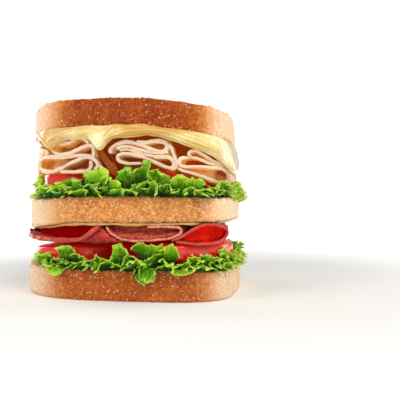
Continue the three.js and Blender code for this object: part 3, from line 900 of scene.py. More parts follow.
print("points on a bend:", len(curve_through([[0, 0], [6, 3], [12, 0]])))

# %% A slice folded along a line
# How far behind its front edge a slice has points, in millimetres.
BACK_STEPS = np.array([0, 0.4, 0.9, 1.5, 2.2, 3.1, 4.2, 5.6, 7.4, 9.6, 12.5, 16, 21, 27, 35])


def left_x(y, depth):
    """The left edge of the slices at y, moved in by depth."""
    power = np.where(y < 0, ROUNDNESS["front_left"], ROUNDNESS["back_left"])
    across = np.minimum(np.abs(y) / (HALF_D - depth), 0.985)
    return -(HALF_W - depth) * (1 - across**power) ** (1 / power)


def folded_slice(
    node, part, line, thick, depth, back_y, turned, seed, material,
    ragged=0.5, flare=0.0, shade=(0.3, 0.3), from_left=False, drift=0.0,
):
    """A ribbon fold: line is x, z from the front, depth how far in its front edge stands."""
    path = curve_through(line)
    x, count = path[:, 0], len(path)
    tangent = np.gradient(path, axis=0)
    tangent /= np.linalg.norm(tangent, axis=1)[:, None]
    across = np.stack([-tangent[:, 1], tangent[:, 0]], -1)
    along = np.arange(count) * GAP
    to_end = np.minimum(along, along[::-1]) / (thick * 0.6)
    taper = np.sqrt(1 - (1 - np.minimum(1, to_end + 0.25)) ** 2)
    if from_left:
        front = left_x(x, depth)
    else:
        front = front_y(x, depth - flare * smooth(-46, -58, x), turned)
    room = back_y + 3.0 * noise(strip(along), 6, seed + 13) - front
    nick = ragged * rough(strip(along), 5, seed)
    fine = 0.3 * ragged * noise(strip(along), 1.1, seed + 3)
    size = thick / 2 * taper * (1 + 0.3 * noise(strip(along), 5, seed + 5))
    flutter = 0.22 * noise(strip(along), 2.4, seed + 11)
    # Once round the slice: forward on one side, round the cut edge, and back on the other side.
    turns = np.linspace(-0.5, 0.5, 7)[1:-1] * np.pi
    loop = [(d, 1.0, 0.0) for d in BACK_STEPS[::-1]]
    loop += [(None, -math.copysign(abs(math.sin(t)) ** 0.55, t), math.cos(t) ** 0.55) for t in turns]
    loop += [(d, -1.0, 0.0) for d in BACK_STEPS]
    rows, cut, inside = [], [], []
    for d, side, out in loop:
        behind = 0.0 if d is None else d
        deep = behind / BACK_STEPS[-1]
        back = front + behind * np.minimum(1, room / BACK_STEPS[-1])
        back = back + np.maximum(0, room - BACK_STEPS[-1]) * max(0.0, (deep - 0.6) / 0.4)
        y = back - out * min(0.55, thick * 0.25) + (nick + fine) * (1 - deep) ** 3
        wave = 1.1 * rough(strip(along, behind * 0.7), 9, seed + 9, 2) * min(1, behind / 6)
        place = path + across * (side * size + wave + flutter)[:, None]
        rows.append(np.stack([place[:, 0] + drift * (back - front), y, place[:, 1]], -1))
        cut.append(np.full(count, 1.0 if d is None else max(0.0, 1 - d / 0.9)))
        inside.append((1.0 if d is None else min(1.0, d / 12)) * smooth(60, 56, np.abs(x)))
    net = np.array(rows).swapaxes(0, 1)
    if from_left:
        net = net[..., [1, 0, 2]]
    if turned:
        net = net * [-1, -1, 1]
    dark = shade[0] + (shade[1] - shade[0]) * (x - x.min()) / (x.max() - x.min())
    values = {"cut": np.array(cut).T, "inside": np.array(inside).T}
    values["dark"] = np.repeat(dark[:, None], len(loop), 1)
    closed_net(f"{node}_{part}", node, net, material, values)


print("points once round a slice:", 2 * len(BACK_STEPS) + 5)

# %% [markdown]
# Turkey is pale: cream along the cut edge and peach on its side. Light passes through a slice
# and bounces between the walls of a loop, so the deeper a loop goes, the more orange it glows.
# To render that light truly would take long, so a little scattering, and a faint glow that follows how deep
# a point is, stand for it. Deep inside, the side colour itself is painted too: orange as painted light, and
# dark red as painted shade where a loop's mouth lies in shadow.


# %% Turkey
def turkey_finish(name, edge_colour, side_light, side_dark, deep, dim, warm, ember, gloss=0.45):
    """Colours of the cut and the side, and deep inside loops: orange as painted light and dark red as
    painted shade where a mouth is dark; and of their painted glow.
    """
    finish = Finish(
        name, Roughness=0.4, Specular_IOR_Level=gloss, Subsurface_Weight=0.2,
        Subsurface_Radius=(0.004, 0.0018, 0.0009), Subsurface_Scale=1.0, Emission_Strength=1.0,
    )
    tree = finish.tree
    inside, dark = finish.painted("inside"), finish.painted("dark")
    mottle = step(tree, finish.noise(5, 4, 0.6), 0.3, 0.7)
    side = mix(tree, mottle, side_dark, side_light)
    # Deep inside a loop the side is painted: orange as painted light, going to dark red as painted shade
    # where the mouth is dark.
    side = mix(tree, step(tree, inside, 0.25, 1.0), side, mix(tree, dark, deep, dim))
    grain = step(tree, finish.noise(1.2, 2), 0.35, 0.7)
    rim = mix(tree, grain * 0.8, edge_colour, between(edge_colour, side_dark, 0.35))
    finish.link(mix(tree, step(tree, finish.painted("cut"), 0.2, 0.8), side, rim), "Base Color")
    glow = mix(tree, step(tree, inside, 0.0, 0.15) * (1 - dark), (0, 0, 0, 1), warm)
    glow = mix(tree, step(tree, inside, 0.4, 1.0), glow, mix(tree, dark, warm, ember))
    finish.link(glow, "Emission Color")
    finish.relief(finish.noise(0.8, 3) * 0.6 + finish.noise(2.6, 2) * 0.4, 0.3, 0.6)
    return finish.material


TURKEY = turkey_finish(
    "turkey", colour(218, 202, 184), colour(240, 210, 164), colour(228, 184, 126),
    colour(240, 186, 98), colour(148, 28, 6), faint(0.18, 240, 176, 64), faint(0.3, 150, 16, 0),
)
# A darker copy of the turkey, as painted shade, for slices set further in and for loops left in shadow.
TURKEY_SHADED = turkey_finish(
    "turkey side", colour(216, 176, 126), colour(226, 180, 122), colour(210, 156, 94),
    colour(206, 140, 60), colour(148, 28, 6), faint(0.12, 240, 180, 76), faint(0.3, 150, 16, 0),
)
# Painted shade: dark colours and a faint painted glow, for meat seen only in deep gaps.
TURKEY_DEEP = turkey_finish(
    "turkey in shade", colour(170, 86, 30), colour(172, 78, 20), colour(124, 32, 2),
    colour(150, 52, 4), colour(120, 24, 4), faint(0.2, 180, 76, 0), faint(0.35, 122, 20, 0), 0.15,
)
print("turkey:", [material.name for material in (TURKEY, TURKEY_SHADED, TURKEY_DEEP)])

# %% The lines of the turkey's folds
# The fold, thickness, how far in, how much painted shade darkens its mouth at its left and right end, and
# the line of x and z as seen from the front. Several slices can belong to one fold.
TURKEY_LINES = [
    ("left_upper", 2.0, 3.0, 0.1, 0.2, [
        [-12.6, 83.6], [-15.1, 85.3], [-18.4, 86.3], [-21.9, 85.2], [-25.1, 84.0], [-28.4, 84.1],
        [-32.6, 84.3], [-35.3, 83.1], [-36.0, 81.3], [-33.4, 79.1], [-28.4, 77.8], [-24.0, 78.2],
        [-19.8, 79.7], [-15.8, 81.3], [-12.2, 82.2], [-10.4, 81.2], [-9.8, 78.9], [-9.9, 76.0],
    ]),
    ("left_lower", 2.1, 3.0, -0.25, 1.4, [
        [-13.1, 76.7], [-18.4, 76.9], [-26.1, 76.6], [-33.8, 77.0], [-42.8, 77.8], [-46.6, 76.4],
        [-47.5, 74.1], [-44.4, 71.0], [-37.2, 69.1], [-33.0, 69.8], [-26.1, 71.8], [-19.1, 74.4],
        [-14.4, 75.9], [-10.5, 75.3], [-8.1, 73.0], [-7.6, 70.6], [-9.0, 68.8],
    ]),
    ("left_lower", 1.8, 3.0, 0.6, 1.0, [
        [-11.5, 73.9], [-11.1, 71.8], [-12.2, 69.7], [-14.4, 68.4], [-21.2, 68.0], [-26.1, 68.2],
        [-30.6, 68.8],
    ]),
    ("left_upper", 2.8, 5.5, 0.4, 0.4, [[-56.0, 85.0], [-52, 83.8], [-46.4, 82.0], [-40.5, 79.6]]),
    ("left_lower", 3.0, 6.0, 0.4, 0.4, [
        [-47.5, 80.4], [-51.5, 78.6], [-54.0, 75], [-54.4, 71], [-53.4, 67], [-50.6, 63], [-46, 60.4],
    ]),
    ("centre_upper", 2.1, 3.0, 0.6, 0.1, [
        [-0.2, 77.7], [-0.4, 79.4], [1.0, 81.2], [4.3, 83.0], [8.6, 83.7], [12.8, 83.1],
        [17.1, 81.9], [21.9, 80.4], [26.6, 79.7], [29.3, 80.2], [30.2, 82.1], [29.3, 84.3],
        [26.6, 85.2], [22.5, 84.7], [18.3, 83.6], [14.1, 83.9],
    ]),
    ("centre_upper", 2.0, 3.0, 0.3, 0.3, [
        [30.9, 84.0], [33.0, 81.0], [34.1, 77.7], [35.1, 74.1], [34.6, 71.2], [32.5, 69.9],
    ]),
    ("centre_upper", 1.5, 3.0, 0.5, 0.1, [
        [3.0, 80.2], [6.0, 81.3], [10.5, 81.1], [15.5, 79.9], [20.5, 78.7], [25.5, 78.6],
        [31.0, 79.3],
    ]),
    ("centre_upper", 1.5, 3.3, 0.5, 0.1, [
        [4.6, 79.2], [7.0, 79.7], [10.5, 79.4], [15.5, 78.2], [20.5, 77.0], [25.5, 76.9],
        [29.5, 77.4],
    ]),
    ("centre_lower", 2.1, 3.0, 1.3, 0.1, [
        [16.5, 72.5], [13.5, 72.2], [8.6, 72.2], [5.6, 73.1], [3.7, 74.9], [4.3, 76.7],
        [7.4, 77.6], [11.6, 77.2], [15.9, 76.2], [20.1, 74.9], [24.2, 73.2], [28.4, 71.4],
        [32.0, 70.8], [33.6, 72.7], [33.3, 74.9], [31.3, 76.4], [27.8, 76.2], [23.6, 76.0],
    ]),
    ("right_upper", 1.9, 3.0, -0.1, 0.0, [
        [62.0, 77.8], [58.0, 77.4], [54.1, 77.2], [51.0, 78.7], [48.0, 80.8], [45.0, 82.1],
        [42.8, 81.4], [41.5, 79.2], [42.5, 77.9], [45.6, 77.7], [48.8, 76.7], [53.1, 75.6],
        [58.0, 75.5], [61.5, 75.6],
    ]),
    ("right_lower", 2.0, 3.0, 0.1, -0.1, [
        [41.4, 77.3], [38.5, 77.0], [36.8, 74.9], [37.1, 72.7], [39.9, 72.1], [44.4, 72.7],
        [49.4, 73.1], [54.1, 73.5], [57.8, 73.3], [59.8, 71.1], [60.3, 67.9], [58.7, 65.2],
        [56.1, 64.4], [52.0, 65.8], [47.8, 67.3], [42.8, 68.8], [38.2, 70.0], [36.2, 71.0],
    ]),
]
# The y where the front half's slices end, and where the few short ones end.
TURKEY_BACK, SHORT_BACK = -5.6, -13
print("slices seen from the front:", len(TURKEY_LINES))

# %% The folds of turkey
# Folds that face the left side: thickness, how far in, and the line of y and z.
SIDE_LINES = [
    (2.2, 5.8, [
        [4, 76.6], [-5, 77.6], [-13, 78.6], [-20, 80.2], [-23.4, 82.2], [-21, 84.2], [-14, 84.8],
        [-6, 84.0], [1, 82.2], [7, 80.4],
    ]),
    (2.1, 5.4, [
        [11, 75.2], [3, 74.2], [-7, 74.8], [-15, 76.2], [-22, 77.0], [-26, 75.2], [-23.6, 72.6],
        [-15, 71.6], [-7, 70.6], [1, 70.2], [7.6, 68.6], [6.4, 66.2], [-1, 65.2], [-11, 65.8],
        [-20, 67.0],
    ]),
]

HALVES = (("front", False), ("back", True))
for end, turned in HALVES:
    for seed, (label, thick, inset, *dark, line) in enumerate(TURKEY_LINES):
        # Slices set further in take the darker copy, painted shade.
        material = TURKEY_SHADED if inset > 4 else TURKEY
        sizes = (thick, inset, TURKEY_BACK if inset < 4 else SHORT_BACK, turned)
        node = f"turkey_{end}_{label}"
        folded_slice(node, seed, line, *sizes, seed + 20 * turned, material, shade=dark)
    for seed, (thick, inset, line) in enumerate(SIDE_LINES):
        sizes = (thick, inset, -44, turned, 30 + seed, TURKEY)
        folded_slice(f"turkey_{end}_left_lower", f"side_{seed}", line, *sizes, from_left=True)
print("slices of turkey at each end:", len(TURKEY_LINES) + len(SIDE_LINES))

# %% [markdown]
# Behind the folds stands a slice that is only seen in the gaps, and the meat between the two halves; both
# are coloured dark and warm as painted shade, with a faint painted glow. So little of them shows that new
# shapes would be wasted: they are copies of the frame's own, cut finer and rippled.


# %% Meat between the folds
def rippled_copy(name, node, amount, size, seed):
    """A finer, uneven copy of a node's mesh."""
    shell = bmesh.new()
    shell.from_mesh(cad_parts[node].data)
    bmesh.ops.remove_doubles(shell, verts=shell.verts, dist=1e-6)
    bmesh.ops.triangulate(shell, faces=shell.faces)
    for _ in range(4):
        long_edges = [e for e in shell.edges if e.calc_length() > 1.6 * MM]
        if not long_edges:
            break
        bmesh.ops.subdivide_edges(shell, edges=long_edges, cuts=1)
        bmesh.ops.triangulate(shell, faces=shell.faces)
    places = np.array([v.co[:] for v in shell.verts]) / MM
    push = np.stack([rough(places, size, seed + k) for k in range(3)], -1) * amount * MM
    for vert, by in zip(shell.verts, push):
        vert.co += Vector(by * (0.3, 1.0, 0.3))
    mesh = bpy.data.meshes.new(name)
    shell.to_mesh(mesh)
    shell.free()
    store(mesh, "inside", np.ones(len(mesh.vertices)))
    mesh.shade_smooth()
    mesh.materials.append(TURKEY_DEEP)
    PIECES.append((new_object(name, mesh), node))
    print(name, len(mesh.polygons), "faces")


for end, _ in HALVES:
    rippled_copy(f"turkey_{end}_inner_slice", f"turkey_{end}_inner", 1.3, 7, 3)
rippled_copy("turkey_core_meat", "turkey_core", 1.0, 8, 5)

# An upright slice seen edge on, and the crumpled meat that closes the view behind the folds, both coloured
# as painted shade.
SLANT = [[-9.0, 82.5], [-7.2, 78.9], [-4.1, 74.1], [-0.4, 69.6], [2.4, 66.4]]
BEHIND = [[-55, 75], [-30, 76.5], [0, 76], [30, 75], [48, 73.5], [61, 71]]
for end, turned in HALVES:
    for label, line, thick, depth in (("slant", SLANT, 4.6, 7.5), ("behind", BEHIND, 17, 14)):
        sizes = (thick, depth, TURKEY_BACK, turned, 15, TURKEY_DEEP)
        folded_slice(f"turkey_{end}_inner", label, line, *sizes, shade=(0.6, 0.6))

# %% [markdown]
# Corned beef is darker and wetter: deep red inside its folds, salmon and ragged along the cut, with a faint
# grain and small glints of fat. A fold in shadow is painted darker red with a faint painted glow, and the
# inside of the right loop is painted bright orange and glows, as painted light. Some folds turn their bend
# to the front, so a second function makes a rounded nose whose height follows a table.


# %% Corned beef
MOIST = {
    "Roughness": 0.35, "Specular_IOR_Level": 0.12, "Subsurface_Weight": 0.15,
    "Subsurface_Radius": (0.004, 0.001, 0.0006), "Subsurface_Scale": 1.0, "Coat_Roughness": 0.15,
}


def beef_finish(name, rim_colour, light, dark, **sockets):
    """Colours of the cut and of the streaks on the side."""
    finish = Finish(name, **(MOIST | sockets))
    tree = finish.tree
    cut = finish.painted("cut")
    streak = finish.noise(2.2, 3, 0.6, (1.0, 0.6, 1.6))
    side = mix(tree, step(tree, streak, 0.32, 0.7), dark, light)
    fat = step(tree, finish.cells(2.8), 0.16, 0.06) * step(tree, finish.noise(5, 1), 0.52, 0.6)
    side = mix(tree, fat * 0.6, side, rim_colour)
    rim = mix(tree, step(tree, finish.noise(1.4, 3), 0.35, 0.65), light, rim_colour)
    finish.link(mix(tree, step(tree, cut, 0.1, 0.8), side, rim), "Base Color")
    finish.link(step(tree, finish.noise(2.4, 2), 0.56, 0.7) * cut * 0.35, "Coat Weight")
    finish.relief(finish.noise(0.7, 3) * 0.6 + streak * 0.4, 0.35, 0.7)
    return finish.material


BEEF = beef_finish("beef", colour(180, 70, 54), colour(212, 84, 70), colour(160, 30, 34))
# Its cut is painted pale pink: the meat's own colour, lightened by a painted highlight.
BEEF_PINK = beef_finish(
    "beef pink side", colour(244, 172, 150), colour(214, 106, 84), colour(154, 44, 34)
)
# Painted shade: darker red with a faint painted glow, for a fold set back in shadow.
BEEF_DEEP = beef_finish(
    "beef in shade", colour(160, 16, 16), colour(150, 4, 6), colour(96, 0, 4),
    Specular_IOR_Level=0.0, Emission_Color=faint(0.3, 150, 0, 0), Emission_Strength=1.0,
)
# Painted light: bright orange with a glow, for light that bounces inside the right loop.
BEEF_BRIGHT = beef_finish(
    "beef inside a loop", colour(255, 110, 30), colour(244, 44, 12), colour(178, 0, 12),
    Emission_Color=faint(0.45, 226, 26, 8), Emission_Strength=1.0,
)
print("beef:", [m.name for m in (BEEF, BEEF_PINK, BEEF_DEEP, BEEF_BRIGHT)])


# %% A fold that turns its bend to the front
def nose_fold(node, part, table, depth, back_y, turned, seed, material, nose, bowl=0.0):
    """A rounded bend, or a hollow one with a bowl: table rows are x, low z, high z."""
    path = curve_through(table)
    x, count = path[:, 0], len(path)
    front = front_y(x, depth, turned)
    middle, half = (path[:, 1] + path[:, 2]) / 2, (path[:, 2] - path[:, 1]) / 2
    turns = np.linspace(-0.5, 0.5, 25) * np.pi
    loop = [(share, -1.0) for share in (1.0, 0.6, 0.3, 0.12)] + [(None, t) for t in turns]
    loop += [(share, 1.0) for share in (0.12, 0.3, 0.6, 1.0)]
    rows, cut = [], []
    for share, turn in loop:
        if share is None:
            height = math.sin(turn)
            y = front + nose * (1 - math.cos(turn)) + bowl * smooth(-0.8, 0.6, height)
            z = middle + half * height
            places = strip(np.arange(count) * GAP, z * 1.6)
            y = y + 0.45 * rough(places, 6, seed) * math.cos(turn) ** 0.5
            z = z + 0.12 * noise(places, 2.2, seed + 2)
        else:
            inner = front + nose + (bowl if turn > 0 else 0.0)
            y = inner + (back_y - inner) * share
            z = middle + half * turn
        rows.append(np.stack([x, y, z], -1))
        cut.append(np.full(count, 0.0 if share else max(0.0, 1 - abs(turn + 1.25) / 0.35)))
    net, cut = np.array(rows).swapaxes(0, 1), np.array(cut).T
    if turned:
        net = net * [-1, -1, 1]
    closed_net(f"{node}_{part}", node, net, material, {"cut": cut, "inside": cut * 0})


# The turkey's loops are closed the same way, by a hollow nose deep inside each.
# Two loops take the darker copy of the turkey, painted shade.
LOOP_ENDS = [
    ("right_lower", 9.0, TURKEY, [[41, 69.6, 72.2], [47, 67.8, 72.6], [53, 66, 73], [58.6, 65.4, 72.4]]),
    ("right_upper", 8.0, TURKEY, [[43, 78.2, 81.4], [46, 77.8, 80.8], [50, 77, 79], [54, 76, 77.2]]),
    ("left_lower", 9.0, TURKEY, [[-46.4, 72.4, 76], [-41, 70.6, 77], [-35, 70, 76.6], [-29, 71.4, 76]]),
    ("left_upper", 10.0, TURKEY_SHADED, [[-35, 80, 83], [-30, 78.6, 84], [-25, 78.4, 84], [-19, 80, 85.6]]),
    ("centre_upper", 9.0, TURKEY_SHADED, [[18, 81.6, 83.4], [22, 80.6, 84.4], [26, 80.2, 85], [29.4, 81, 84]]),
]
for end, turned in HALVES:
    for seed, (label, depth, material, table) in enumerate(LOOP_ENDS, 80):
        sizes = (table, depth, TURKEY_BACK, turned, seed, material)
        nose_fold(f"turkey_{end}_{label}", "end", *sizes, nose=3.0, bowl=3.0)
print("loops closed at each end:", len(LOOP_ENDS))

# %% The lines and tables of the beef's folds
# Ribbons as lines of x and z, and bends as tables of x, low z and high z.
BEEF_LINES = {
    "left_band": [
        [-60.6, 39.0], [-62.4, 38.6], [-62.8, 37.4], [-59.5, 36.2], [-52, 34.8], [-44, 33.2],
        [-31, 31.6], [-20, 31.6], [-14, 33.4], [-9.5, 36.6], [-6.4, 38.6],
    ],
    "right_loop": [
        [33, 31.6], [37.1, 33.2], [41.3, 35.4], [45.3, 37.9], [50.4, 39.4], [55.2, 39.1], [59.0, 36.9],
        [59.6, 33.4], [56.6, 30.5], [49.5, 29.7], [40.9, 30.5], [35, 31.0],
    ],
}
CENTRE_RIM = [
    [20, 38.6], [27, 38.7], [33.0, 38.6], [36.9, 37.9], [37.8, 35.9], [35, 33.9], [30.2, 32.6],
    [21.4, 31.6], [12.5, 31.4], [6.1, 32.2], [1.8, 34.1], [-1.2, 36.5], [-2.6, 38.6],
]
LOOP_INSIDE = [
    [38, 30.8, 33.4], [42, 30.5, 35.9], [46, 30.2, 38.0], [50, 30.0, 38.9], [53.8, 30.3, 38.6],
    [56.0, 31.4, 37.2],
]
BEEF_TABLES = {
    "left_fold": [
        [-17, 30.0, 31.0], [-12, 29.8, 34.2], [-9, 29.8, 36.8], [-6.6, 29.8, 38.8], [-4.0, 29.9, 37.2],
        [-0.6, 30.0, 34.4], [3.4, 30.2, 32.4], [7, 30.4, 31.0],
    ],
    "left_back": [
        [-58.5, 37.3, 40.5], [-50, 35, 40.5], [-40, 33.4, 40.2], [-28, 32.4, 39.2], [-18, 32.8, 38.9],
        [-12.6, 36, 38.6],
    ],
    "centre": [
        [-2.6, 37, 38.7], [3.4, 33.4, 38.8], [9, 31.9, 38.9], [24, 31.8, 38.9], [32, 33.6, 38.4],
        [37.2, 35.6, 37.6],
    ],
}
BEEF_BACK = -0.3
print("ribbons:", list(BEEF_LINES), "bends:", list(BEEF_TABLES))

# %% The folds of beef
for end, turned in HALVES:
    seed = 60 if turned else 40
    half = (BEEF_BACK, turned)
    node = f"beef_{end}_left_band"
    line = BEEF_LINES["left_band"][4 * turned :]
    folded_slice(node, "slice", line, 2.6, 1.3, *half, seed, BEEF, ragged=0.8, flare=1.6)
    node = f"beef_{end}_left_fold"
    nose_fold(node, "slice", BEEF_TABLES["left_fold"], 2.4, *half, seed + 1, BEEF, nose=2.6)
    node = f"beef_{end}_left_back"
    table = BEEF_TABLES["left_back"][2 * turned :]
    nose_fold(node, "slice", table, 6.0, *half, seed + 2, BEEF_DEEP, nose=2.0, bowl=1.5)
    node, table = f"beef_{end}_centre", BEEF_TABLES["centre"]
    nose_fold(node, "slice", table, 3.2, *half, seed + 3, BEEF_PINK, nose=1.6, bowl=4.6)
    folded_slice(node, "rim_slice", CENTRE_RIM, 1.1, 2.6, *half, seed + 4, BEEF_PINK)
    node, line = f"beef_{end}_right_loop", BEEF_LINES["right_loop"]
    folded_slice(node, "slice", line, 1.35, 2.2, *half, seed + 5, BEEF, ragged=0.6, drift=-0.16)
    nose_fold(node, "inside", LOOP_INSIDE, 9.0, *half, seed + 6, BEEF_BRIGHT, nose=3.0, bowl=3.0)
print("pieces so far:", len(PIECES))

# %% [markdown]
# ## Tomato
# A slice of tomato is a low drum: skin round it, wet flesh on both faces. Its shape follows one
# formula, so geometry nodes make it whole from a flat grid. One way across the grid goes round
# the slice and the other up its profile, and merging by distance closes the seam and poles.


# %% Tomato finish
def tomato_finish():
    """Streaked red with a few pale flecks, under a wet coat, with a faint painted glow."""
    # The faint red emission is a painted glow.
    finish = Finish(
        "tomato", Roughness=0.18, Specular_IOR_Level=0.3, Subsurface_Weight=0.15,
        Subsurface_Radius=(0.005, 0.0012, 0.0008), Subsurface_Scale=1.0, Coat_Weight=1.0,
        Coat_Roughness=0.2, Emission_Color=faint(0.1, 240, 20, 10), Emission_Strength=1.0,
    )
    tree = finish.tree
    streak = step(tree, finish.noise(4, 3, 0.6, (0.5, 0.5, 1.6)), 0.3, 0.75)
    skin = mix(tree, streak, colour(214, 4, 4), colour(255, 52, 36))
    fleck = step(tree, finish.cells(1.6), 0.16, 0.05)
    finish.link(mix(tree, fleck * 0.25, skin, colour(240, 120, 80)), "Base Color")
    finish.relief(finish.noise(3.0, 2), 0.2, 0.35)
    return finish.material


TOMATO = tomato_finish()
print("tomato nodes:", len(TOMATO.node_tree.nodes))


# %% A grid wrapped into a slice
def tomato_tree():
    """A grid wrapped into a lobed drum with rounded edges."""
    size = "NodeSocketFloat"
    tree, given = geometry_tree(
        "tomato slice",
        {
            "Radius": (size, 26.0), "Thickness": (size, 7.0), "Squareness": (size, 5.5),
            "Lobe height": (size, 0.8), "Lobes": (size, 5.0), "Turn": (size, 0.0),
            "Material": ("NodeSocketMaterial", None),
        },
    )
    counts = {"Size X": 1.0, "Size Y": 1.0, "Vertices X": 129, "Vertices Y": 49}
    grid = add(tree, "GeometryNodeMeshGrid", None, counts)
    place = add(tree, "GeometryNodeInputPosition")
    across = add(tree, "ShaderNodeSeparateXYZ", None, {"Vector": place})
    upward = add(tree, "ShaderNodeSeparateXYZ", None, {"Vector": place}, output=1)
    around = (across + 0.5) * (2 * math.pi)
    rise = upward * math.pi
    sharp = 2 / given["Squareness"]
    wide = rise.of("COSINE").of("ABSOLUTE") ** sharp
    tall = rise.of("SINE")
    tall = tall.of("SIGN") * tall.of("ABSOLUTE") ** sharp
    lobes = (around * given["Lobes"] + given["Turn"]).of("COSINE") * given["Lobe height"]
    reach = (given["Radius"] + lobes * wide) * wide * MM
    shape = {
        "X": reach * around.of("COSINE"), "Y": reach * around.of("SINE"),
        "Z": tall * given["Thickness"] * (MM / 2),
    }
    moved = {"Geometry": grid, "Position": add(tree, "ShaderNodeCombineXYZ", None, shape)}
    formed = add(tree, "GeometryNodeSetPosition", None, moved)
    joined = add(tree, "GeometryNodeMergeByDistance", None, {"Geometry": formed, "Distance": 1e-5})
    finish_tree(tree, joined, given["Material"])
    return tree


TOMATO_TREE = tomato_tree()
print("tomato tree nodes:", len(TOMATO_TREE.nodes))

# %% The eight slices of tomato
# Middle x, y, radius, thickness, height of the top, and slope.
TOMATO_SLICES = {
    "lower_front_left": [-25.4, -21.5, 27.6, 11.0, 29.6, 0],
    "lower_front_right": [32.0, -22.0, 29.9, 11.2, 30.9, 0],
    "lower_back_left": [-31.0, 28.0, 21.0, 6.8, 28.6, 0],
    "lower_back_right": [28.5, 28.5, 21.0, 7.0, 29.0, 0],
    "upper_front_left": [-23.2, -21.5, 25.0, 9.6, 67.9, -0.09],
    "upper_front_right": [31.5, -22.0, 27.0, 9.4, 69.2, -0.16],
    "upper_back_left": [-31.0, 28.0, 21.0, 6.6, 66.0, 0],
    "upper_back_right": [28.5, 28.5, 21.0, 6.6, 66.2, 0],
}

for turn, (label, (x, y, radius, thick, top, slope)) in enumerate(TOMATO_SLICES.items()):
    piece = new_object(f"tomato_{label}_slice", bpy.data.meshes.new("tomato_" + label))
    sizes = {"Radius": radius, "Thickness": thick, "Turn": 1.7 * turn, "Material": TOMATO}
    run_tree(piece, TOMATO_TREE, sizes)
    flat = np.array([v.co[:] for v in piece.data.vertices]) / MM
    flat += [x, y, top - thick / 2]
    flat[:, 2] += slope * (flat[:, 0] - x)
    piece.data.vertices.foreach_set("co", settle(flat).ravel())
    piece.data.update()
    PIECES.append((piece, f"tomato_{label}"))
print("tomato slice faces:", len(piece.data.polygons))

# %% [markdown]
# ## Lettuce
# The rim of a frilled leaf has grown far longer than its base, so it buckles into ruffles that lean on each
# other. One wave carried round the slice looks like cardboard, so each ruffle is a small flap here: a fan
# with a root on the bread and a tip, which leans out, cups, and waves more towards its rim. The ruffles
# that give a leaf its outline are placed one by one, and smaller ones fill the gaps all the way round. Both
# faces are made, so a flap has a thickness.


# %% Lettuce finish
def leaf_finish():
    """Dark at the root as painted shade, bright towards the rim with pale patches there as painted
    highlights, and pale veins, a fine net and waxy gloss.
    """
    finish = Finish(
        "lettuce", Roughness=0.3, Specular_IOR_Level=0.08, Subsurface_Weight=0.1,
        Subsurface_Radius=(0.0015, 0.0025, 0.0004), Subsurface_Scale=1.0, Coat_Roughness=0.15,
    )
    tree = finish.tree
    rim, vein, tone = (finish.painted(label) for label in ("rim", "vein", "tone"))
    patch = step(tree, finish.noise(5, 3) * 0.5 + tone * 0.5, 0.25, 0.7)
    # The dark root colours are painted shade.
    root = mix(tree, patch, colour(8, 36, 0), colour(20, 74, 0))
    middle = mix(tree, patch, colour(24, 88, 0), colour(88, 156, 0))
    light = mix(tree, patch, colour(92, 176, 0), colour(184, 232, 44))
    green = mix(tree, step(tree, rim, 0.2, 0.66), root, middle)
    green = mix(tree, step(tree, rim, 0.5, 0.95), green, light)
    net = step(tree, finish.cells(2.6), 0.34, 0.6)
    green = mix(tree, net * step(tree, rim, 0.3, 0.6) * 0.2, green, colour(170, 206, 60))
    green = mix(tree, vein * step(tree, rim, 0.1, 0.5) * 0.5, green, colour(180, 214, 60))
    # Pale patches near the rim are painted highlights.
    pale = step(tree, rim, 0.78, 1.0) * step(tree, finish.noise(3.5, 2), 0.36, 0.6)
    green = mix(tree, pale * 0.8, green, colour(226, 246, 124))
    finish.link(green, "Base Color")
    finish.link(step(tree, finish.noise(4, 2), 0.46, 0.64) * rim * 0.45, "Coat Weight")
    finish.relief(finish.noise(2.2, 3) * 0.8 - net * 0.25, 1.1, 1.0)
    return finish.material


LETTUCE = leaf_finish()
print("lettuce nodes:", len(LETTUCE.node_tree.nodes))

# %% Where flaps stand
ROUND = Edge(3000)
FRONT_MIDDLE = ROUND.run[np.argmin(np.abs(ROUND.x) + (ROUND.y > 0) * 1e3)]


def tucked(x):
    """How far the leaves draw back at the two ends of a slice."""
    return 9.5 * smooth(-42, -57, x) + 3.4 * smooth(50, 61, x)


def at_spot(spot, values):
    """A value known round the edge, at spot millimetres round from the front's middle."""
    return np.interp((FRONT_MIDDLE + spot) % ROUND.round, ROUND.run, values, period=ROUND.round)


def edge_x(spot):
    """The x of the edge at spot millimetres round from the front's middle."""
    return at_spot(spot, ROUND.x)


def beside(spot, out):
    """The x, y of a point spot millimetres round from the front's middle and out from the edge."""
    out = out - tucked(edge_x(spot))
    x, y, nx, ny = (at_spot(spot, values) for values in (ROUND.x, ROUND.y, ROUND.nx, ROUND.ny))
    return x + nx * out, y + ny * out


print("the front's middle, mm round the edge:", FRONT_MIDDLE.round(1))


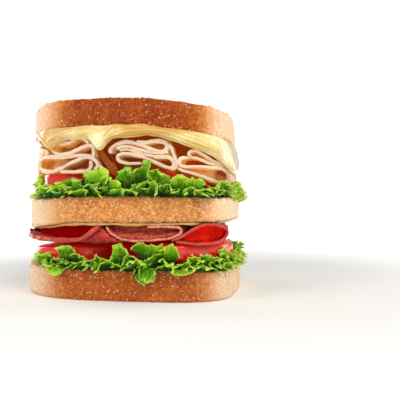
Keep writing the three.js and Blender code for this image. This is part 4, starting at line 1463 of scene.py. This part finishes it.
# %% One flap of a leaf
def leaf_flap(spot, z, reach, aim, wide, lean=1.5, cup=0.0, pleats=3.0, wave=1.2, seed=0, fine=1.0):
    """The two faces of one flap as rings of points, and its numbers for the colours."""
    rng = np.random.default_rng(seed)
    rows = max(14, round(fine * (12 + 0.9 * reach)))
    columns = max(24, round(fine * (20 + 4.2 * wide)))
    v = np.linspace(0.0, 1, rows)[:, None]
    u = np.linspace(-1, 1, columns)[None, :]
    flat = np.stack(np.broadcast_arrays(u * wide, v * reach), -1)
    rim_line = flat * [1, 0]
    phase, warp = rng.uniform(0, 2 * np.pi, 2)
    pleat = np.pi * pleats * u / 2 + phase + 1.1 * noise(flat, 6, seed + 1)
    small = 2.3 * pleat + warp + 0.8 * noise(flat, 3, seed + 4)
    lobes = 2.0 * np.abs(noise(rim_line, 2.6, seed + 2)) - 0.7
    scallop = 0.16 * reach * noise(rim_line, wide * 0.5, seed) + lobes
    up = reach * v * (1 - 0.5 * (1 - np.sqrt(1 - 0.98 * u**2)) * v) + scallop * v**3
    spread = wide * (0.34 + 0.66 * np.sin(np.pi / 2 * np.minimum(1, v / 0.7)))
    spread = spread * (1 + 0.16 * noise(flat * [0, 1] + [9, 0], 3, seed + 8))
    side = spread * u + 0.55 * wave * v**2 * np.sin(2 * pleat + 0.7)
    side = side + 0.2 * wave * v**3 * np.sin(2 * small)
    out = wave * v**1.4 * np.sin(pleat) + 0.7 * wave * v**2.5 * np.sin(small)
    out = out + 0.22 * wave * v**3 * np.sin(2.1 * small + 1.0)
    roll = rng.uniform(0.4, 1.6) * np.clip((v - 0.62) / 0.38, 0, 1)
    out = out + lean * (v + 0.6 * v**3) + 1.3 * (1 - np.cos(roll))
    out = out + cup * wide * 0.3 * u**2 * np.sin(np.pi / 2 * v)
    up = up - 0.35 * np.abs(out) * v**2 - 0.5 * (roll - np.sin(roll))
    veins = np.zeros(flat.shape[:2])
    for at in (-0.5, 0.0, 0.5):
        sway = at * (0.4 + 0.6 * v) + 0.12 * noise(flat, 5, seed + 5)
        strength = (0.45 if at == 0 else 0.35) * (1 - v) ** 0.6
        veins = np.maximum(veins, strength * bump(u - sway, (0.6 if at == 0 else 0.4) / wide))
    out = out + 0.2 * veins + 0.75 * rough(flat, 3.0, seed + 6, 2) * np.minimum(1, 2 * v)
    a = math.radians(aim)
    x, y = beside(spot + up * math.cos(a) + side * math.sin(a), out)
    sheet = np.stack([x, y, z + up * math.sin(a) - side * math.cos(a)], -1)
    facing = np.cross(np.gradient(sheet, axis=0), np.gradient(sheet, axis=1))
    facing /= np.linalg.norm(facing, axis=-1)[..., None] + 1e-9
    half = (0.4 - 0.25 * v)[..., None]
    shell = np.concatenate([sheet + facing * half, (sheet - facing * half)[:, ::-1]], axis=1)
    # Hanging flaps start part way along, so their roots get less painted shade.
    less_painted_shade = 0.55 if aim < 0 else 0.0
    rim = np.broadcast_to(less_painted_shade + (1 - less_painted_shade) * v, veins.shape)
    both = {"rim": rim, "vein": veins, "tone": np.full(veins.shape, rng.uniform())}
    return shell, {key: np.concatenate([n, n[:, ::-1]], axis=1) for key, n in both.items()}


print("points of one flap:", leaf_flap(0, 17, 8, 90, 5)[0].shape[:2])


# %% Many flaps in one piece
def leaf_piece(name, node, flaps):
    """Many flaps joined in one piece: each is a closed shell of its own."""
    points, faces, values, first = [], [], {"rim": [], "vein": [], "tone": []}, 0
    for flap in flaps:
        shell, numbers = leaf_flap(**flap)
        rows, columns = shell.shape[:2]
        side = np.arange(columns // 2 - 1)
        across = columns - 1 - side
        end = first + (rows - 1) * columns
        faces += net_faces(rows, columns, first).tolist()
        for start, order in ((first, 1), (end, -1)):
            cap = np.stack([start + side, start + side + 1, start + across - 1, start + across], -1)
            faces += cap[:, ::order].tolist()
        points.append(settle(shell).reshape(-1, 3))
        for key, found in numbers.items():
            values[key].append(found.ravel())
        first += rows * columns
    joined = {key: np.concatenate(found) for key, found in values.items()}
    piece = make_piece(name, node, np.concatenate(points), faces, LETTUCE, joined)
    print(piece.name, len(piece.data.polygons), "faces")


# %% [markdown]
# The tables say of each big ruffle where its root is, how far and which way it reaches, how wide
# it is, how it leans out and cups, and how it is pleated. Aim is in degrees: 90 is up.

# %% The ruffles placed one by one
FLAP_FIELDS = ("spot", "z", "reach", "aim", "wide", "lean", "cup", "pleats", "wave")
BIG_FLAPS = {
    "lettuce_upper": [
        (-57, 56, 9.0, 96, 4.6, 0.6, 0.6, 3, 1.6), (-46, 56, 9.5, 92, 4.4, 1.0, 0.6, 3, 1.8),
        (-37, 55, 8.5, 104, 4.4, 2.0, -0.6, 3, 1.8), (-29, 54.6, 9.5, 80, 4.6, 1.6, 0.5, 3, 1.8),
        (-21.5, 54.8, 10.5, 70, 5.4, 1.6, -0.5, 3, 1.8), (-15, 54.6, 5.6, 97, 5.0, 3.0, 0.6, 3, 1.4),
        (-8.5, 55.6, 15.2, 82, 7.2, 0.4, -0.5, 3, 2.0), (0, 55.6, 9.6, 60, 7.6, 1.6, 0.5, 3, 1.6),
        (9, 56.2, 13.2, 92, 5.0, 0.6, -1.0, 3, 2.0), (17.4, 57, 18.2, 78, 4.6, 2.0, 1.5, 2, 1.6),
        (26, 57, 13.2, 80, 6.4, 0.2, -0.6, 3, 2.0), (22.4, 55.1, 9.4, 90, 5.4, 3.4, -0.8, 2, 1.4),
        (37.2, 56, 11.4, 88, 5.0, 0.6, 0.6, 3, 2.0), (44.6, 55.9, 11.4, 84, 4.8, 1.0, -0.5, 3, 2.0),
        (30.3, 55.3, 7.4, 105, 4.4, 2.8, 0.5, 3, 1.5), (49, 55.4, 6.0, 84, 4.8, 2.6, 0.4, 3, 1.6),
        (55, 55.9, 7.0, 84, 5.0, 2.0, -0.5, 3, 1.8), (63, 56, 11.5, 76, 5.6, 1.4, 0.6, 3, 2.0),
        (72, 56, 9.4, 84, 5.4, 2.0, 0.5, 3, 1.9), (81, 56, 8.4, 92, 5.0, 2.0, -0.5, 3, 1.8),
    ],
    "lettuce_lower": [
        (-57, 19, 7.0, 96, 4.6, 0.6, 0.5, 3, 1.5), (-47, 19, 7.0, 100, 4.0, 1.0, 0.6, 3, 1.6),
        (-39.5, 18.6, 7.0, 97, 4.2, 1.6, -0.6, 3, 1.6), (-29.5, 18.6, 7.2, -94, 4.6, 2.4, 0.6, 2, 1.4),
        (-24.6, 17.6, 12.4, 93, 5.4, 1.4, -1.0, 2, 2.0), (-18.0, 18, 9.4, 36, 5.8, 2.4, 0.8, 2, 1.4),
        (-29.5, 17.1, 6.8, 80, 4.4, 2.4, 0.5, 3, 1.6), (-11, 17, 6.2, 104, 5.8, 3.0, 0.6, 3, 1.5),
        (-4, 17.1, 7.6, 94, 4.6, 1.8, -0.6, 3, 1.7), (1.8, 17.2, 5.6, 84, 4.8, 3.0, 0.5, 3, 1.5),
        (8, 17.9, 13.0, 104, 4.8, 1.4, 1.8, 2, 1.5), (13, 19.4, 6.8, 128, 3.8, 3.2, 0.8, 2, 1.4),
        (20.5, 21.2, 11.0, 82, 8.2, 1.4, -0.9, 3, 1.5), (15.5, 18.8, 5.8, 82, 5.0, 4.0, 0.6, 3, 1.6),
        (26.5, 19, 7.8, 130, 5.0, 3.8, -0.6, 3, 1.5), (32, 19.6, 10.8, 89, 4.8, 1.6, 0.8, 3, 1.8),
        (22, 20.8, 11.4, -97, 5.2, 2.6, -0.6, 2, 1.7), (17.4, 20.4, 13.0, -84, 2.4, 2.4, 0.5, 2, 1.0),
        (30, 18.2, 6.0, 60, 4.6, 3.4, 0.5, 3, 1.5),
        (38.5, 18.8, 5.2, -80, 5.0, 2.4, 0.6, 3, 1.3), (45, 17.8, 8.2, 90, 4.6, 1.6, -0.5, 3, 1.8),
        (51.5, 17.8, 7.8, 92, 5.0, 2.2, 0.5, 3, 1.8), (57.5, 18.2, 6.6, 108, 4.6, 2.6, -0.5, 3, 1.7),
        (64.5, 18.4, 9.6, 78, 5.0, 1.4, 0.6, 3, 1.9), (72, 18.4, 7.6, 86, 5.0, 2.0, 0.4, 3, 1.8),
        (81, 18.2, 8.0, 94, 5.0, 2.0, -0.4, 3, 1.8),
    ],
}
print("ruffles placed by hand:", {node: len(rows) for node, rows in BIG_FLAPS.items()})

# %% Small ruffles
# Height of the bread under the leaf, reach of a small flap, seed, height of the leaf's fold.
LEAVES = {
    "lettuce_lower": {"root": 16.5, "reach": 6.8, "seed": 100, "ridge": 3.4},
    "lettuce_upper": {"root": 55.0, "reach": 8.4, "seed": 400, "ridge": 8.6},
}


def small_flaps(leaf, start, end, gap, reach, lift, lean, fine, aim=90):
    """Ruffles of about one size at about one distance from each other."""
    rng = np.random.default_rng(leaf["seed"] + round(10 * reach))
    flaps = []
    for spot in np.arange(start, end, gap):
        place = rng.uniform(-0.35, 0.35) * gap
        flaps.append({
            "spot": spot + place, "z": leaf["root"] + lift + rng.uniform(-0.3, 0.6),
            "reach": reach * rng.uniform(0.7, 1.3), "aim": aim + rng.normal() * 16,
            "wide": rng.uniform(0.62, 0.85) * gap, "lean": lean + rng.uniform(-0.8, 1.0),
            "cup": rng.uniform(-1.2, 1.2), "pleats": rng.uniform(2.4, 3.6),
            "wave": rng.uniform(1.7, 2.7), "seed": leaf["seed"] + len(flaps), "fine": fine,
        })
    return flaps


print("small ruffles on 50 mm:", len(small_flaps(LEAVES["lettuce_lower"], 0, 50, 8, 5, 0, 1, 1)))


# %% The leaf between the slices
def waves_round(edge, count, seed):
    """An angle that grows round the edge by count whole turns, not quite evenly."""
    angle = 2 * np.pi * edge.run / edge.round
    rng = np.random.default_rng(seed)
    for k in (3, 5, 8, 13, 21):
        shifted = k * angle + rng.uniform(0, 2 * np.pi)
        by = rng.uniform(0.5, 1.0) * 9 / (k + 4)
        angle = angle + by * np.sin(shifted) / count
    return angle * count


def leaf_sheet(node, leaf):
    """The part of the leaf between the slices, with a low wavy rim."""
    edge = Edge(700)
    wave = waves_round(edge, 34, leaf["seed"])
    rows = []
    ridge = leaf["ridge"]
    heights = [(30, 0.2), (14, 0.2), (10, 0.6), (8.6, 0.8 * ridge), (7.6, ridge), (6.6, 0.8 * ridge)]
    heights += [(5, 0.5), (3.4, 0.4), (1.8, 1.0), (0.8, 2.2)]
    for depth, z in heights:
        sway = 0.9 * smooth(3, -1, depth)
        x, y = edge.inset(np.maximum(depth - sway * np.sin(wave), -3) + tucked(edge.x))
        rows.append(np.stack([x, y, leaf["root"] + z + 0.5 * sway * np.sin(2 * wave)], -1))
    sheet = np.array(rows)
    net = np.concatenate([sheet + [0, 0, 0.3], (sheet - [0, 0, 0.3])[::-1]])
    # The sheet between the flaps takes darker colours from the root end, as painted shade.
    up = np.linspace(0.3, 0.5, len(rows))[:, None].repeat(net.shape[1], 1)
    rim = np.concatenate([up, up[::-1]])
    values = {"rim": rim, "vein": rim * 0, "tone": rim * 0}
    closed_net(node + "_sheet", node, net, LETTUCE, values)


print("waves round a leaf:", round(waves_round(ROUND, 34, 0)[-1] / (2 * math.pi), 1))

# %% The two leaves
for node, leaf in LEAVES.items():
    leaf_sheet(node, leaf)
    big = [dict(zip(FLAP_FIELDS, row), fine=1.35) for row in BIG_FLAPS[node]]
    for k, flap in enumerate(big):
        flap["seed"] = leaf["seed"] + 50 + k
    leaf_piece(node + "_ruffles", node, big)
    front = small_flaps(leaf, -60, 88, 7.0, leaf["reach"] * 0.64, 0.2, 1.0, 1.2)
    leaf_piece(node + "_fringe", node, front)
    back = small_flaps(leaf, 88, ROUND.round - 60, 8.0, leaf["reach"] * 1.25, 0.4, 0.6, 0.76)
    low = small_flaps(leaf, 90, ROUND.round - 62, 7.0, leaf["reach"] * 0.8, 0.2, 2.2, 0.72)
    # Where the leaf is tucked in, a flap lying on its side would come out through the crust.
    back += [f for f in low if tucked(edge_x(f["spot"])) < 4 or abs(f["aim"] - 90) < 30]
    back += small_flaps(leaf, 84, ROUND.round - 58, 9.0, 3.4, 2.0, 2.5, 0.75, -78)
    leaf_piece(node + "_round", node, back)

# %% [markdown]
# ## Camera, light and floor
# The sandwich is seen almost level, from a little to its right, through a long lens. Point
# lamps would throw hard shadows, so all are wide: a warm key lamp at the front right, a softer
# one at the front left, and a low one on each side that makes the pale ends of the bread glow.
# The floor fades into the bright room behind it.

# %% Camera
EYE = Vector((96.8, -360.6, 53.5))
TURN = math.radians(9.03)
FOCAL = 54.0

lens = bpy.data.cameras.new("camera")
lens.lens, lens.sensor_width = FOCAL, 36.0
lens.clip_start = 0.01
camera = new_object("camera", lens)
camera.location = (EYE + Vector((*SHIFT, 0))) * MM
camera.rotation_euler = (math.pi / 2, 0, TURN)
bpy.context.scene.camera = camera
print("camera at, m:", [round(c, 4) for c in camera.location])

# %% Floor and room
REACH = 6.0
corners = [(x * REACH, y * REACH, 0) for x, y in ((-1, -1), (1, -1), (1, 1), (-1, 1))]
floor_mesh = bpy.data.meshes.new("floor")
floor_mesh.from_pydata(corners, [], [(0, 1, 2, 3)])
floor = new_object("floor", floor_mesh)
finish = Finish("floor", Roughness=0.9, Specular_IOR_Level=0.1, Emission_Strength=1.0)
paper = mix(finish.tree, finish.noise(400, 2), colour(247, 247, 247), colour(252, 252, 252))
finish.link(paper, "Base Color")
middle = {0: finish.place}
far = add(finish.tree, "ShaderNodeVectorMath", {"operation": "LENGTH"}, middle, output=1)
glow = step(finish.tree, far, 0.14, 0.55)
finish.link(mix(finish.tree, glow, (0, 0, 0, 1), (0.85, 0.85, 0.85, 1)), "Emission Color")
floor_mesh.materials.append(finish.material)

world = bpy.data.worlds.new("studio")
bpy.context.scene.world = world
world.use_nodes = True
studio = world.node_tree
studio.nodes["Background"].inputs["Color"].default_value = (1, 1, 1, 1)
seen = add(studio, "ShaderNodeLightPath", output="Is Camera Ray")
studio.links.new((0.34 + seen * 0.71).socket, studio.nodes["Background"].inputs["Strength"])
bpy.context.scene.view_settings.view_transform = "Standard"
bpy.context.scene.cycles.use_denoising = True
print("floor:", floor.name, "room:", world.name)

# %% Lamps
# Degrees from the front and above the floor, size and distance in metres, power in watts.
LAMPS = {
    "key": {"azimuth": 42, "height": 44, "size": 0.35, "power": 2.8, "away": 0.75},
    "front": {"azimuth": -40, "height": 32, "size": 0.4, "power": 2.3, "away": 0.85},
    "left": {"azimuth": -116, "height": 14, "size": 0.42, "power": 1.85, "away": 0.7},
    "right": {"azimuth": 112, "height": 15, "size": 0.42, "power": 1.7, "away": 0.8},
}
MIDDLE = Vector((0, 0, 0.055))
for name, lamp in LAMPS.items():
    light = bpy.data.lights.new(name, "AREA")
    light.size, light.energy = lamp["size"], lamp["power"]
    light.color = (1.0, 0.96, 0.88) if name == "key" else (1.0, 1.0, 1.0)
    shine = new_object(name, light)
    a, e = math.radians(lamp["azimuth"]), math.radians(lamp["height"])
    direction = Vector((math.sin(a) * math.cos(e), -math.cos(a) * math.cos(e), math.sin(e)))
    shine.location = MIDDLE + direction * lamp["away"]
    shine.rotation_euler = direction.to_track_quat("Z", "Y").to_euler()
print("lamps:", list(LAMPS))

# %% [markdown]
# Every piece rides on the sandwich's one body and stands for the plain solid of its node.

# %% Join the pieces to the frame
CRUST_SLOTS = {"bread_top": "dark", "bread_middle": "golden", "bread_bottom": "brown"}
for piece, node in PIECES:
    food = node.split("_")[0]
    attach(piece, "root")
    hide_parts(node)
    f"crust_{CRUST_SLOTS[node]}" if food == "bread" else food

faces = {piece.name: len(piece.data.polygons) for piece, _ in PIECES}
print("pieces:", len(faces), "faces in all:", sum(faces.values()), "most:", max(faces.values()))
